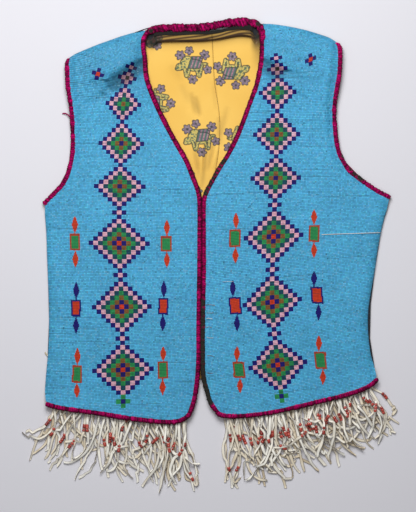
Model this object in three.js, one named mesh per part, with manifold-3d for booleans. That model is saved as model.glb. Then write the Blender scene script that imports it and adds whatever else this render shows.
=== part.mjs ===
// Beaded vest laid flat, front up. Two beaded hide fronts lie on a plain dark back, whose yellow lining
// shows in the neck opening. Wound wool binding runs round the edges, and thong fringe hangs at the hems.
// Millimetres. +X is the viewer's right, +Y runs towards the neck, and +Z points up from the surface.

import * as THREE from 'three';
import Module from 'manifold-3d';

const wasm = await Module();
wasm.setup();

// Walls, from the surface up
const seamGap = 0.3;
const backWall = 2.5;
const liningWall = 1;
const facingWall = 1;
const frontWall = 2.8;
const liningBase = backWall + seamGap;
const facingBase = liningBase + liningWall + seamGap;
const rimZ = backWall + seamGap;

// Heights of the fronts' outer surface
const bodyZ = 10;
const armholeEdgeZ = 7;
const hemCornerZ = 10;
const openEdgeZ = 8.8;
const shoulderRise = 7;
const shoulderEdgeRise = 5;
const hemRise = 1.5;

// Lengths over which the fronts' form changes
const sideRoll = 12;
const shoulderRoll = 24;
const edgeRoll = 10;
const rimTurn = 26;
const puffFrom = 130;
const puffTo = 35;
const edgeShapeFrom = 12;
const edgeShapeOver = 110;
const vBottomY = 78;
const rowsNearHem = [4, 11, 26];
const rowsNearUnderarm = [22, 9];
const stepsBelow = 9;
const stepsAbove = 9;

// Binding, back neck and fringe
const bindingWidth = 5.4;
const bindingHeight = 5.2;
const bindingGap = 0.5;
const neckBindingWidth = 9;
const neckBindingHeight = 8;
const neckBindingWaves = 17;
const neckBindingWave = 0.5;
const neckBindingEnds = [-83.4, 56.6];
const strandWidth = 3.1;
const strandThickness = 1.2;
const strandClearance = 0.45;
const strandTries = 24;
const strandHighestAtHem = 6.2;
const strandLowUntil = 11;
const strandBeside = 0.6;
const strandFloor = 0.35;
const strandSteps = 6;
const samplesPerStep = 4;
const stripDepth = 3;
const stripInset = 1;
const stripTop = 4.7;

// A table with named columns becomes a list of rows.
function table(names, ...rows) {
  return rows.map((row) => Object.fromEntries(names.map((name, i) => [name, row[i]])));
}

// Outlines of the left front. Its armhole, V and hem stop where their binding starts.
const left = {
  outward: -1,
  inner: table(['y', 'x'], [309.1, -91.1], [298, -97.3], [284, -98], [270, -95.9], [254, -95.2],
    [240, -93.1], [218, -85.6], [196, -75.9], [174, -64.9], [150, -51.7], [127, -38.6], [105, -29.7],
    [86, -22.5], [70, -20.4], [20, -20.4], [-22, -20.6], [-63, -21.2], [-105, -21.8], [-139, -21.8],
    [-163, -22.8], [-182, -24.8], [-201, -28], [-219.4, -33.8]),
  side: table(['y', 'x'], [67.6, -230.5], [50, -230.5], [30, -229.1], [-11, -227.7], [-58, -225.9],
    [-94, -225.2], [-132, -226.3], [-163, -229], [-188, -230.6], [-203.5, -229.1]),
  armhole: table(['y', 'x'], [67.6, -230.5], [73, -225], [83, -215.2], [94, -204.9], [105, -198.7],
    [115, -195.3], [126, -192.4], [138, -190.4], [155, -189.6], [171, -190], [190, -190.9],
    [210, -193], [221, -195], [235, -196.7], [254, -197.5], [270.5, -198.4]),
  top: table(['x', 'y'], [-198.4, 270.5], [-190, 276], [-174, 283], [-157, 289.9], [-141, 295.6],
    [-124, 301.5], [-108, 306], [-91.1, 309.1]),
  hem: table(['x', 'y'], [-229.1, -203.5], [-210, -208.8], [-189, -211.9], [-166, -215.2],
    [-145, -218.2], [-127, -221.3], [-108, -224.1], [-86, -226.6], [-65, -228.4], [-50, -227.8],
    [-40, -224.4], [-33.8, -219.4]),
  troughs: table(['x0', 'y0', 'x1', 'y1', 'depth', 'half'], [-100, 259, -150, 229, 4.5, 9]),
};

// Outlines of the right front, measured the same way.
const right = {
  outward: 1,
  inner: table(['y', 'x'], [317.4, 66.2], [304, 71], [287, 71.8], [268, 71.1], [246, 67.6], [229, 63.5],
    [218, 59.3], [196, 51.1], [174, 43], [160, 37.3], [138, 26.2], [116, 12.4], [94, 0], [80, -6.6],
    [69, -8.4], [19, -8.3], [-22, -8.4], [-63, -9.1], [-105, -9.7], [-139, -9.7], [-167, -9],
    [-181, -6.2], [-190, -3.4], [-203, 0.4], [-219.4, 11.7]),
  side: table(['y', 'x'], [75.9, 244.3], [61, 241.5], [44, 236.7], [28, 233.2], [5, 229], [-17, 226],
    [-39, 222.2], [-61, 218.3], [-83, 215.8], [-110, 216], [-138, 219.4], [-155, 224], [-169.7, 227]),
  armhole: table(['y', 'x'], [75.9, 244.3], [84, 227.7], [99, 205.6], [114, 187], [128, 178],
    [141, 172], [157, 168.8], [174, 167], [196, 165.8], [212, 166.9], [229, 169.7], [251, 173],
    [279, 173.9], [292.6, 172.5]),
  top: table(['x', 'y'], [66.2, 317.4], [80, 318], [97, 316], [113, 313.2], [130, 309.4], [146, 304.6],
    [163, 298.6], [172.5, 292.6]),
  hem: table(['x', 'y'], [11.7, -219.4], [27, -220.9], [43, -220.3], [58, -218.8], [75, -216.6],
    [91, -213.8], [108, -210], [124, -206.4], [139, -202.5], [155, -198.8], [171, -195], [188, -190.3],
    [204, -184.8], [217, -178.6], [227, -169.7]),
  troughs: table(['x0', 'y0', 'x1', 'y1', 'depth', 'half'], [73, 268, 112, 232, 3.5, 8]),
};

// Back: its neck edge, hem and centre seam, and the fold that its lining makes under the neck binding.
const neckEdge = table(['x', 'y'], [-84.8, 304.6], [-72, 305.9], [-44, 306.6], [-17, 307], [-3, 308],
  [11, 309.6], [25, 312.4], [39, 314.2], [52, 313], [59.6, 310.5]);
const backHem = table(['x', 'y'], [-228, -198], [-140, -188], [-14, -172], [120, -166], [225, -164]);
const liningSeam = table(['y', 'x'], [307, -2], [270, 0.5], [222, 3.6], [184, 10.5], [150, 10], [120, 6],
  [85, -3], [30, -6], [-185, -8]);
const neckFold = table(['fromNeck', 'lift'], [0, 1], [3.6, 3.6], [6, 5.2], [9, 5.6], [11, 4.4], [14.5, 0]);
const facingRows = 1;
const sideSliver = { from: -135, to: -20, width: 2.2, ease: 25 };
const backArmholeInset = 1.5;
const liningInset = 9;
const liningNeckEnds = [-84.6, 59.4];
const liningNeckRise = 7;
const liningShortUnderFronts = 9;
const liningShortAtNeck = 0.6;
const foldShareBesideFronts = 0.6;

// Fringe: how the thongs of each hem lean, turn and vary along it. Angles are degrees from straight down.
const leftThongs = {
  count: 50,
  salt: 79,
  bounds: { left: -259, right: -18, low: -323 },
  rows: table(['at', 'lean', 'turn', 'stray', 'curl', 'wave', 'length'], [0, -22, 20, 26, 150, 16, 76],
    [0.15, -28, 16, 36, 200, 28, 88], [0.3, -14, 4, 38, 180, 26, 94], [0.5, -2, -6, 36, 180, 26, 96],
    [0.75, 4, -6, 34, 170, 26, 94], [1, 2, -4, 20, 110, 16, 96]),
};
const rightThongs = {
  count: 60,
  salt: 110,
  bounds: { left: 14, right: 259, low: -325 },
  rows: table(['at', 'lean', 'turn', 'stray', 'curl', 'wave', 'length'], [0, 2, -8, 22, 90, 18, 104],
    [0.2, 2, 4, 36, 180, 28, 104], [0.45, 4, 4, 36, 170, 28, 98], [0.7, 8, 4, 34, 150, 26, 92],
    [0.88, 14, 0, 28, 110, 22, 80], [1, 20, -6, 14, 60, 16, 76]),
};

const lerp = THREE.MathUtils.lerp;
const clamp = THREE.MathUtils.clamp;
const smooth = (t) => THREE.MathUtils.smoothstep(t, 0, 1);
const radians = THREE.MathUtils.degToRad;

// Smooth curve through a table's rows, value against key, with each slope taken from the rows around it.
function curveThrough(rows, key, value) {
  const sorted = [...rows].sort((a, b) => a[key] - b[key]);
  const last = sorted.length - 1;
  const slopes = sorted.map((row, i) => {
    const before = sorted[Math.max(i - 1, 0)];
    const after = sorted[Math.min(i + 1, last)];
    return (after[value] - before[value]) / (after[key] - before[key]);
  });
  return (at) => {
    const place = clamp(at, sorted[0][key], sorted[last][key]);
    const i = Math.min(Math.max(sorted.findIndex((row) => row[key] > place) - 1, 0), last - 1);
    const start = place >= sorted[last][key] ? last - 1 : i;
    const span = sorted[start + 1][key] - sorted[start][key];
    const t = (place - sorted[start][key]) / span;
    const t2 = t * t;
    const t3 = t2 * t;
    return sorted[start][value] * (2 * t3 - 3 * t2 + 1) + slopes[start] * span * (t3 - 2 * t2 + t)
      + sorted[start + 1][value] * (3 * t2 - 2 * t3) + slopes[start + 1] * span * (t3 - t2);
  };
}

// Even numbers from one value to another, both included.
function evenly(from, to, steps) {
  return Array.from({ length: steps + 1 }, (_, i) => lerp(from, to, i / steps));
}

// Distances from an edge that follow a quarter circle, so that a rolled edge is evenly divided.
function rollDistances(width, steps) {
  return Array.from({ length: steps }, (_, i) => width * (1 - Math.cos((i / steps) * (Math.PI / 2))));
}

// Repeatable number from 0 to 1 for a strand and a purpose.
function chance(index, salt) {
  const value = Math.sin(index * 12.9898 + salt * 78.233) * 43758.5453;
  return value - Math.floor(value);
}

function meshOf(name, positions, triangles, look) {
  const geometry = new THREE.BufferGeometry();
  geometry.setAttribute('position', new THREE.Float32BufferAttribute(positions, 3));
  geometry.setIndex(triangles);
  geometry.computeVertexNormals();
  const mesh = new THREE.Mesh(geometry, new THREE.MeshStandardMaterial(look));
  mesh.name = name;
  return mesh;
}

// Turns all faces of a closed body outwards, by the sign of its volume.
function facingOut(positions, triangles) {
  const corner = (i) => new THREE.Vector3().fromArray(positions, 3 * i);
  let volume = 0;
  for (let i = 0; i < triangles.length; i += 3) {
    const [a, b, c] = [corner(triangles[i]), corner(triangles[i + 1]), corner(triangles[i + 2])];
    volume += a.dot(b.cross(c));
  }
  if (volume > 0) return triangles;
  return triangles.map((_, i) => triangles[i - (i % 3) + [0, 2, 1][i % 3]]);
}

// Closed wall between two grids of points, joined round their border.
function wallBody(outerGrid, innerGrid) {
  const rows = outerGrid.length;
  const columns = outerGrid[0].length;
  const positions = [...outerGrid, ...innerGrid].flatMap((row) => row.flatMap((p) => [p.x, p.y, p.z]));
  const outer = (i, j) => i * columns + j;
  const inner = (i, j) => (rows + i) * columns + j;
  const triangles = [];
  const quad = (a, b, c, d) => triangles.push(a, b, c, a, c, d);
  for (let i = 0; i + 1 < rows; i += 1) {
    for (let j = 0; j + 1 < columns; j += 1) {
      quad(outer(i, j), outer(i, j + 1), outer(i + 1, j + 1), outer(i + 1, j));
      quad(inner(i, j), inner(i + 1, j), inner(i + 1, j + 1), inner(i, j + 1));
    }
    const end = columns - 1;
    quad(outer(i, 0), outer(i + 1, 0), inner(i + 1, 0), inner(i, 0));
    quad(outer(i + 1, end), outer(i, end), inner(i, end), inner(i + 1, end));
  }
  for (let j = 0; j + 1 < columns; j += 1) {
    const end = rows - 1;
    quad(outer(0, j + 1), outer(0, j), inner(0, j), inner(0, j + 1));
    quad(outer(end, j), outer(end, j + 1), inner(end, j + 1), inner(end, j));
  }
  return { positions, triangles: facingOut(positions, triangles) };
}

// Closed body swept through stations, each a centre with an across and an up direction and its own size.
function sweptBody(stations, section) {
  const sides = section.length;
  const positions = stations.flatMap((station) => section.flatMap(([across, up]) => {
    const point = station.centre.clone()
      .addScaledVector(station.across, across * station.width)
      .addScaledVector(station.up, up * station.height);
    return [point.x, point.y, point.z];
  }));
  const triangles = [];
  for (let i = 0; i + 1 < stations.length; i += 1) {
    for (let k = 0; k < sides; k += 1) {
      const next = (k + 1) % sides;
      const [a, b, c, d] = [i * sides + k, i * sides + next, (i + 1) * sides + next, (i + 1) * sides + k];
      triangles.push(a, b, c, a, c, d);
    }
  }
  const end = (stations.length - 1) * sides;
  for (let k = 1; k + 1 < sides; k += 1) {
    triangles.push(0, k + 1, k, end, end + k, end + k + 1);
  }
  return { positions, triangles: facingOut(positions, triangles) };
}

// Six-sided section of a binding and four-sided section of a thong, one unit wide and high.
const roundSection = [[-0.5, 0], [-0.3, -0.5], [0.3, -0.5], [0.5, 0], [0.3, 0.5], [-0.3, 0.5]];
const flatSection = [[-0.5, -0.5], [0.5, -0.5], [0.5, 0.5], [-0.5, 0.5]];

// Heights of a front. Inputs are distances from its edges, in the plan, and where its row lies.
function crownZ(fromTop) {
  return bodyZ + shoulderRise * smooth((puffFrom - fromTop) / (puffFrom - puffTo));
}

// How upright the outer rim stands: fully along the side seam, not at all at the hem and the armhole.
function rimUpright(row) {
  if (row.onArmhole) return 0;
  return smooth(row.fromHem / rimTurn) * smooth(row.fromUnderarm / rimTurn);
}

function outerEdgeZ(row) {
  if (row.onArmhole) {
    return armholeEdgeZ + shoulderEdgeRise * smooth((puffFrom - row.fromTop) / (puffFrom - puffTo));
  }
  const hemPart = lerp(hemCornerZ, rimZ, smooth(row.fromHem / rimTurn));
  const underarmPart = lerp(armholeEdgeZ, rimZ, smooth(row.fromUnderarm / rimTurn));
  return Math.max(hemPart, underarmPart);
}

function troughDepth(troughs, x, y) {
  return troughs.reduce((sum, trough) => {
    const along = new THREE.Vector2(trough.x1 - trough.x0, trough.y1 - trough.y0);
    const offset = new THREE.Vector2(x - trough.x0, y - trough.y0);
    const t = clamp(offset.dot(along) / along.lengthSq(), 0, 1);
    const distance = offset.sub(along.multiplyScalar(t)).length();
    return sum + trough.depth * Math.exp(-((distance / trough.half) ** 2));
  }, 0);
}

function frontZ(front, row, x, y, fromOuter, fromInner) {
  const q = clamp(fromOuter / sideRoll, 0, 1);
  const upright = rimUpright(row);
  const roll = lerp(smooth(q), Math.sqrt(1 - (1 - q) ** 2), upright);
  const crown = crownZ(row.fromTop) - troughDepth(front.troughs, x, y);
  let z = lerp(outerEdgeZ(row), crown, roll);
  const openEdge = openEdgeZ + shoulderEdgeRise * smooth((puffFrom - row.fromTop) / (puffFrom - puffTo));
  z = lerp(Math.min(openEdge, z), z, Math.sin((clamp(fromInner / edgeRoll, 0, 1) * Math.PI) / 2));
  z += hemRise * (1 - smooth(row.fromHem / rimTurn)) * q;
  const down = clamp(row.fromTop / shoulderRoll, 0, 1);
  return rimZ + (z - rimZ) * Math.sqrt(1 - (1 - down) ** 2);
}

// Rows of a front, from the hem to the shoulder, as heights of the ends of each row.
function frontRows(front) {
  const ends = {
    hemInner: Math.min(...front.inner.map((row) => row.y)),
    hemOuter: Math.min(...front.side.map((row) => row.y)),
    underarm: Math.max(...front.side.map((row) => row.y)),
    topInner: Math.max(...front.inner.map((row) => row.y)),
    topOuter: Math.max(...front.armhole.map((row) => row.y)),
  };
  const lowLength = ends.underarm - ends.hemOuter;
  const highLength = ends.topOuter - ends.underarm;
  const highInner = ends.topInner - vBottomY;
  const between = evenly(rowsNearHem[2], lowLength - rowsNearUnderarm[0], stepsBelow);
  const lowDistances = [0, rowsNearHem[0], rowsNearHem[1], ...between, lowLength - rowsNearUnderarm[1],
    lowLength];
  const low = lowDistances.map((distance) => {
    const t = distance / lowLength;
    return {
      inner: lerp(ends.hemInner, vBottomY, t),
      outer: ends.hemOuter + distance,
      fromHem: distance,
      fromUnderarm: lowLength - distance,
      fromTop: highLength + lowLength - distance,
      onArmhole: false,
    };
  });
  const even = evenly(0, highLength - shoulderRoll, stepsAbove).slice(1)
    .map((distance) => highLength - distance);
  const high = [...even, ...rollDistances(shoulderRoll, 5).reverse()].map((fromTop) => {
    const spread = smooth((fromTop - shoulderRoll) / (highLength - shoulderRoll));
    const innerDistance = lerp(fromTop, (fromTop / highLength) * highInner, spread);
    return {
      inner: ends.topInner - innerDistance,
      outer: ends.topOuter - fromTop,
      fromHem: lowLength + highLength - fromTop,
      fromUnderarm: highLength - fromTop,
      fromTop,
      onArmhole: true,
    };
  });
  return [...low, ...high];
}

// Distances from the outer edge at which a row has its columns.
function frontColumns(width) {
  const inwards = rollDistances(sideRoll, 4);
  const middle = evenly(sideRoll, width - edgeRoll, 6);
  return [...inwards, ...middle, width - 0.35 * edgeRoll, width];
}

// Share of an edge's own shape that a row keeps: all of it near the edge, none a hand's width away.
function edgeShare(distance) {
  return 1 - smooth((distance - edgeShapeFrom) / edgeShapeOver);
}

// Outer surface of a front as a grid of points, from the hem to the shoulder and from outside inwards.
function frontGrid(front) {
  const curves = {
    inner: curveThrough(front.inner, 'y', 'x'),
    side: curveThrough(front.side, 'y', 'x'),
    armhole: curveThrough(front.armhole, 'y', 'x'),
    top: curveThrough(front.top, 'x', 'y'),
    hem: curveThrough(front.hem, 'x', 'y'),
  };
  const rows = frontRows(front);
  const endsOf = (row) => {
    const outerCurve = row.onArmhole ? curves.armhole : curves.side;
    return { x0: outerCurve(row.outer), y0: row.outer, x1: curves.inner(row.inner), y1: row.inner };
  };
  const hemChord = endsOf(rows[0]);
  const topChord = endsOf(rows[rows.length - 1]);
  const chordY = (chord, x) => lerp(chord.y0, chord.y1, clamp((x - chord.x0) / (chord.x1 - chord.x0), 0, 1));
  return rows.map((row) => {
    const { x0, y0, x1, y1 } = endsOf(row);
    const width = Math.abs(x1 - x0);
    const points = frontColumns(width).map((fromOuter) => {
      const t = fromOuter / width;
      const x = lerp(x0, x1, t);
      const hemX = lerp(hemChord.x0, hemChord.x1, t);
      const topX = lerp(topChord.x0, topChord.x1, t);
      const hemShape = (curves.hem(hemX) - chordY(hemChord, hemX)) * edgeShare(row.fromHem);
      const topShape = (curves.top(topX) - chordY(topChord, topX)) * edgeShare(row.fromTop);
      const y = lerp(y0, y1, t) + hemShape + topShape;
      return new THREE.Vector3(x, y, frontZ(front, row, x, y, fromOuter, width - fromOuter));
    });
    return { row, points };
  });
}

// Outward directions of a front's surface. Its rims stand upright on the back, so they face sideways.
function frontNormals(front, grid) {
  const lastRow = grid.length - 1;
  const lastColumn = grid[0].points.length - 1;
  const at = (i, j) => grid[clamp(i, 0, lastRow)].points[clamp(j, 0, lastColumn)];
  return grid.map(({ row }, i) => grid[i].points.map((_, j) => {
    const across = at(i, j + 1).clone().sub(at(i, j - 1));
    const along = at(i + 1, j).clone().sub(at(i - 1, j));
    const normal = across.cross(along).normalize();
    if (normal.z < 0) normal.negate();
    if (j === 0) normal.lerp(new THREE.Vector3(front.outward, 0, 0), rimUpright(row)).normalize();
    if (i === lastRow) normal.set(0, 1, 0);
    return normal;
  }));
}

function innerSide(grid, normals) {
  return grid.map(({ points }, i) => points.map((point, j) => {
    const inner = point.clone().addScaledVector(normals[i][j], -frontWall);
    inner.z = Math.max(inner.z, rimZ);
    return inner;
  }));
}

// Stations of a binding that lies beside a wall's edge. Each edge place has the wall's two corners and
// a point further in on the wall.
function bindingStations(places, width, height, lowest) {
  const last = places.length - 1;
  return places.map((place, i) => {
    const before = places[Math.max(i - 1, 0)];
    const after = places[Math.min(i + 1, last)];
    const tangent = after.outer.clone().sub(before.outer).normalize();
    const up = place.outer.clone().sub(place.inner).normalize();
    const across = tangent.cross(up).normalize();
    if (across.dot(place.outer.clone().sub(place.inward)) < 0) across.negate();
    const centre = place.outer.clone().lerp(place.inner, 0.5)
      .addScaledVector(across, bindingGap + width / 2);
    centre.z = Math.max(centre.z, lowest + height / 2);
    return { centre, across, up, width, height };
  });
}

function frontPlace(parts, i, j, inI, inJ) {
  return { outer: parts.grid[i].points[j], inner: parts.inner[i][j], inward: parts.grid[inI].points[inJ] };
}

function frontParts(front) {
  const grid = frontGrid(front);
  const inner = innerSide(grid, frontNormals(front, grid));
  return { front, grid, inner };
}

// One run of binding: down the V and the centre front, round the corner and along the hem.
function edgePlaces(parts) {
  const lastRow = parts.grid.length - 1;
  const lastColumn = parts.grid[0].points.length - 1;
  const down = evenly(lastRow, 1, lastRow - 1).map((i) => (
    frontPlace(parts, Math.round(i), lastColumn, Math.round(i), lastColumn - 1)));
  const corner = frontPlace(parts, 0, lastColumn, 1, lastColumn - 1);
  const along = evenly(lastColumn - 1, 0, lastColumn - 1).map((j) => (
    frontPlace(parts, 0, Math.round(j), 1, Math.round(j))));
  return [...down, corner, ...along];
}

function armholePlaces(parts) {
  const first = parts.grid.findIndex(({ row }) => row.onArmhole) - 1;
  return parts.grid.map((_, i) => i).filter((i) => i >= first)
    .map((i) => frontPlace(parts, i, 0, i, 1));
}

// Top edge of the back, over both shoulders and the neck.
const backTopCurve = curveThrough([...left.top, ...neckEdge, ...right.top], 'x', 'y');

// How far the dark back peeps out past the right front's side seam.
function sliver(y) {
  const { from, to, width, ease } = sideSliver;
  return width * smooth((y - from) / ease) * smooth((to - y) / ease);
}

// Rows of the back from hem to neck: the heights of their ends, with the rows near the neck given by
// their distances from it.
function backRows(nearNeck) {
  const hem = { left: backHem[0].y, right: backHem[backHem.length - 1].y };
  const underarm = { left: left.armhole[0].y, right: right.armhole[0].y };
  const top = { left: left.top[0].y, right: right.top[right.top.length - 1].y };
  const low = evenly(0, 1, 5).map((t) => ({
    leftY: lerp(hem.left, underarm.left, t),
    rightY: lerp(hem.right, underarm.right, t),
    onArmhole: false,
    lift: 0,
  }));
  const high = evenly(0, 1, 7).slice(1).map((t) => t ** 1.15).map((t) => ({
    leftY: lerp(underarm.left, top.left, t),
    rightY: lerp(underarm.right, top.right, t),
    onArmhole: true,
    lift: 0,
  })).filter((row) => row.leftY < top.left - 1.5 * nearNeck[nearNeck.length - 1].fromNeck);
  const near = [...nearNeck].reverse().map(({ fromNeck, lift }) => ({
    leftY: top.left - fromNeck, rightY: top.right - fromNeck, onArmhole: true, lift,
  }));
  return [...low, ...high, ...near].map((row) => ({
    ...row,
    fromTop: top.left - row.leftY,
    fromHem: row.leftY - hem.left,
  }));
}

const backCurves = {
  leftSide: curveThrough(left.side, 'y', 'x'),
  leftArmhole: curveThrough(left.armhole, 'y', 'x'),
  rightSide: curveThrough(right.side, 'y', 'x'),
  rightArmhole: curveThrough(right.armhole, 'y', 'x'),
  hem: curveThrough(backHem, 'x', 'y'),
  seam: curveThrough(liningSeam, 'y', 'x'),
};

function backLeftX(row) {
  if (row.onArmhole) return backCurves.leftArmhole(row.leftY) + backArmholeInset;
  return backCurves.leftSide(row.leftY);
}

function backRightX(row, peeps) {
  if (row.onArmhole) return backCurves.rightArmhole(row.rightY) - backArmholeInset;
  return backCurves.rightSide(row.rightY) + (peeps ? sliver(row.rightY) : 0);
}

// Grid of points on the back's outline. Each column has its place along the row, from 0 to 1 between
// two ends, how far it stops short of the top, and its share of the neck fold.
function backGrid(rows, columns, startOf, endOf) {
  const first = rows[0];
  const last = rows[rows.length - 1];
  return rows.map((row) => {
    const wholeStart = backLeftX(row);
    const wholeEnd = backRightX(row, false);
    return columns.map((column) => {
      const x = lerp(startOf(row), endOf(row), column.place);
      const t = clamp((x - wholeStart) / (wholeEnd - wholeStart), 0, 1);
      const hemX = lerp(backLeftX(first), backRightX(first, false), t);
      const topX = lerp(backLeftX(last), backRightX(last, false), t);
      const hemShape = backCurves.hem(hemX) - lerp(first.leftY, first.rightY, t);
      const topShape = backTopCurve(topX) - column.short - lerp(last.leftY, last.rightY, t);
      const y = lerp(row.leftY, row.rightY, t) + hemShape * edgeShare(row.fromHem)
        + topShape * edgeShare(row.fromTop);
      return new THREE.Vector3(x, y, row.lift * column.foldShare);
    });
  });
}

function sheetBody(grid, base, wall) {
  const raised = (height) => grid.map((row) => row.map((p) => new THREE.Vector3(p.x, p.y, p.z + height)));
  const [top, bottom] = [raised(base + wall), raised(base)];
  return { grid, top, bottom, ...wallBody(top, bottom) };
}

function backPanel() {
  const columns = evenly(0, 1, 22).map((place) => ({ place, short: 0, foldShare: 0 }));
  const rows = backRows([{ fromNeck: 0, lift: 0 }, { fromNeck: 11, lift: 0 }]);
  return sheetBody(backGrid(rows, columns, backLeftX, (row) => backRightX(row, true)), 0, backWall);
}

// One half of the lining. Its columns are set at the neck, so that the fold ends beside the bindings.
function liningHalf(side) {
  const rows = backRows(neckFold);
  const last = rows[rows.length - 1];
  const seamX = (row) => backCurves.seam(lerp(row.leftY, row.rightY, 0.5));
  const start = side === 'left' ? (row) => backLeftX(row) + liningInset : (row) => seamX(row) + seamGap / 2;
  const end = side === 'left' ? (row) => seamX(row) - seamGap / 2 : (row) => backRightX(row) - liningInset;
  const neckEnd = liningNeckEnds[side === 'left' ? 0 : 1];
  const rise = side === 'left' ? liningNeckRise : -liningNeckRise;
  const neckSide = side === 'left' ? end(last) : start(last);
  const shoulderSide = side === 'left' ? start(last) : end(last);
  const under = evenly(shoulderSide, neckEnd, 5).map((x) => ({
    x, short: liningShortUnderFronts, foldShare: 0,
  }));
  const open = evenly(neckEnd + rise, neckSide, 6).map((x, i) => ({
    x, short: liningShortAtNeck, foldShare: i === 0 ? foldShareBesideFronts : 1,
  }));
  const columns = [...under, ...open].sort((a, b) => a.x - b.x).map((column) => ({
    ...column, place: (column.x - start(last)) / (end(last) - start(last)),
  }));
  return sheetBody(backGrid(rows, columns, start, end), liningBase, liningWall);
}

// Facing: a narrow strip made from the lining's own points along the neck edge, moved up.
function facingBody(leftLining, rightLining) {
  const columnsAtNeck = 7;
  const rows = leftLining.grid.slice(-1 - facingRows).map((row, i) => [
    ...row.slice(-columnsAtNeck),
    ...rightLining.grid.slice(-1 - facingRows)[i].slice(0, columnsAtNeck),
  ]);
  return sheetBody(rows, facingBase, facingWall);
}

// Neck binding: a thick roll that swells and narrows where it is gathered.
function neckBindingBody(back) {
  const edge = back.grid[back.grid.length - 1];
  const places = evenly(...neckBindingEnds, 68).map((x) => {
    const i = edge.findIndex((point) => point.x > x);
    const y = lerp(edge[i - 1].y, edge[i].y, (x - edge[i - 1].x) / (edge[i].x - edge[i - 1].x));
    return {
      outer: new THREE.Vector3(x, y, backWall),
      inner: new THREE.Vector3(x, y, 0),
      inward: new THREE.Vector3(x, y - 1, 0),
    };
  });
  const stations = bindingStations(places, neckBindingWidth, neckBindingHeight, seamGap);
  stations.forEach((station, i) => {
    const wave = Math.sin((i / (stations.length - 1)) * neckBindingWaves * 2 * Math.PI);
    station.height -= neckBindingWave * (1 - wave) * 0.5;
    station.centre.addScaledVector(station.across, neckBindingWave * (1 + wave) * 0.5);
  });
  return sweptBody(stations, roundSection);
}

// Binding on the back half of an armhole, lying on the surface under the front's.
function backArmholePlaces(back, side) {
  const column = side === 'left' ? 0 : back.grid[0].length - 1;
  const next = side === 'left' ? 1 : column - 1;
  const armholeStart = 6;
  return back.grid.map((row, i) => ({
    outer: back.top[i][column], inner: back.bottom[i][column], inward: row[next].clone(),
  })).filter((_, i, all) => i >= armholeStart && i + 1 < all.length);
}

// Fringe: the centre line of one thong in the plan. It leaves the hem with its neighbours' lean, strays
// from it, and turns towards its tip.
function thongPlan(root, thongs, index, attempt) {
  const at = (index + 0.5) / thongs.count;
  const salt = thongs.salt + 20 * attempt;
  const read = (name) => curveThrough(thongs.rows, 'at', name)(at);
  const lean = read('lean');
  const stray = (chance(index, salt) - 0.5) * 2 * read('stray');
  const bend = 2 * chance(index, salt + 1) - 1;
  const turn = read('turn') + Math.sign(bend) * bend * bend * read('curl');
  const wobble = read('wave') * (2 * chance(index, salt + 3) - 1);
  const pieces = strandSteps * samplesPerStep;
  const step = (read('length') * (0.84 + 0.3 * chance(index, salt + 2))) / pieces;
  const points = [root.clone()];
  for (let i = 1; i <= pieces; i += 1) {
    const t = (i - 0.5) / pieces;
    const angle = radians(lean + stray * smooth(2 * t) + turn * t * t + wobble * Math.sin(2 * Math.PI * t));
    points.push(points[i - 1].clone().add(new THREE.Vector2(Math.sin(angle), -Math.cos(angle))
      .multiplyScalar(step)));
  }
  return points;
}

// Height of a thong's centre line at one of its points.
function heightAt(heights, i) {
  const step = Math.min(Math.floor(i / samplesPerStep), strandSteps - 1);
  return lerp(heights[step], heights[step + 1], i / samplesPerStep - step);
}

// Heights of a thong's stations: as low as the thongs already laid allow. Raising both ends of a step
// lifts every point between them. What its root's step still lacks is its fault.
function thongHeights(plan, rootZ, laid) {
  const floor = strandFloor + strandThickness / 2;
  const heights = Array(strandSteps + 1).fill(floor);
  heights[0] = rootZ;
  heights[1] = lerp(rootZ, floor, 0.35);
  heights[2] = lerp(rootZ, floor, 0.75);
  const reach = strandWidth + strandBeside;
  let fault = 0;
  plan.forEach((point, i) => {
    const near = laid.filter((other) => Math.abs(other.x - point.x) < reach
      && Math.hypot(other.x - point.x, other.y - point.y) < reach);
    if (near.length === 0) return;
    const need = Math.max(...near.map((other) => other.z)) + strandThickness + strandClearance;
    const lack = need - heightAt(heights, i);
    if (lack <= 0) return;
    const step = Math.min(Math.floor(i / samplesPerStep), strandSteps - 1);
    const t = i / samplesPerStep - step;
    heights[step + 1] += step === 0 ? lack / Math.max(t, 0.5) : lack;
    if (step > 0) heights[step] += lack;
    if (t < 0.5 && step === 0) fault += lack;
  });
  const underBinding = plan.filter((point) => plan[0].y - point.y < strandLowUntil).length;
  plan.slice(0, underBinding).forEach((_, i) => {
    fault += Math.max(heightAt(heights, i) - strandHighestAtHem, 0);
  });
  return { heights, fault };
}

// A thong tries a few ways to lie and keeps the one that is lowest and most within its hem's bounds.
function layThong(root, rootZ, thongs, index, laid) {
  const faultCost = 20;
  const { left: farLeft, right: farRight, low } = thongs.bounds;
  let best = null;
  for (let attempt = 0; attempt < strandTries; attempt += 1) {
    const plan = thongPlan(root, thongs, index, attempt);
    const { heights, fault } = thongHeights(plan, rootZ, laid);
    const sum = heights.reduce((total, z) => total + z, 0);
    const outside = plan.reduce((most, point) => (
      Math.max(most, farLeft - point.x, point.x - farRight, low - point.y)), 0);
    const cost = Math.max(...heights) + sum / heights.length + heights[strandSteps] + faultCost * fault
      + 0.5 * outside;
    if (best === null || cost < best.cost - 1e-6) best = { plan, heights, cost };
  }
  return best;
}

// Point a share of the way along a line of points.
function pointAlong(line, share) {
  const reached = [0];
  line.slice(1).forEach((point, i) => reached.push(reached[i] + point.distanceTo(line[i])));
  const target = share * reached[reached.length - 1];
  const i = clamp(reached.findIndex((value) => value >= target) - 1, 0, line.length - 2);
  return line[i].clone().lerp(line[i + 1], (target - reached[i]) / (reached[i + 1] - reached[i]));
}

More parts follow.
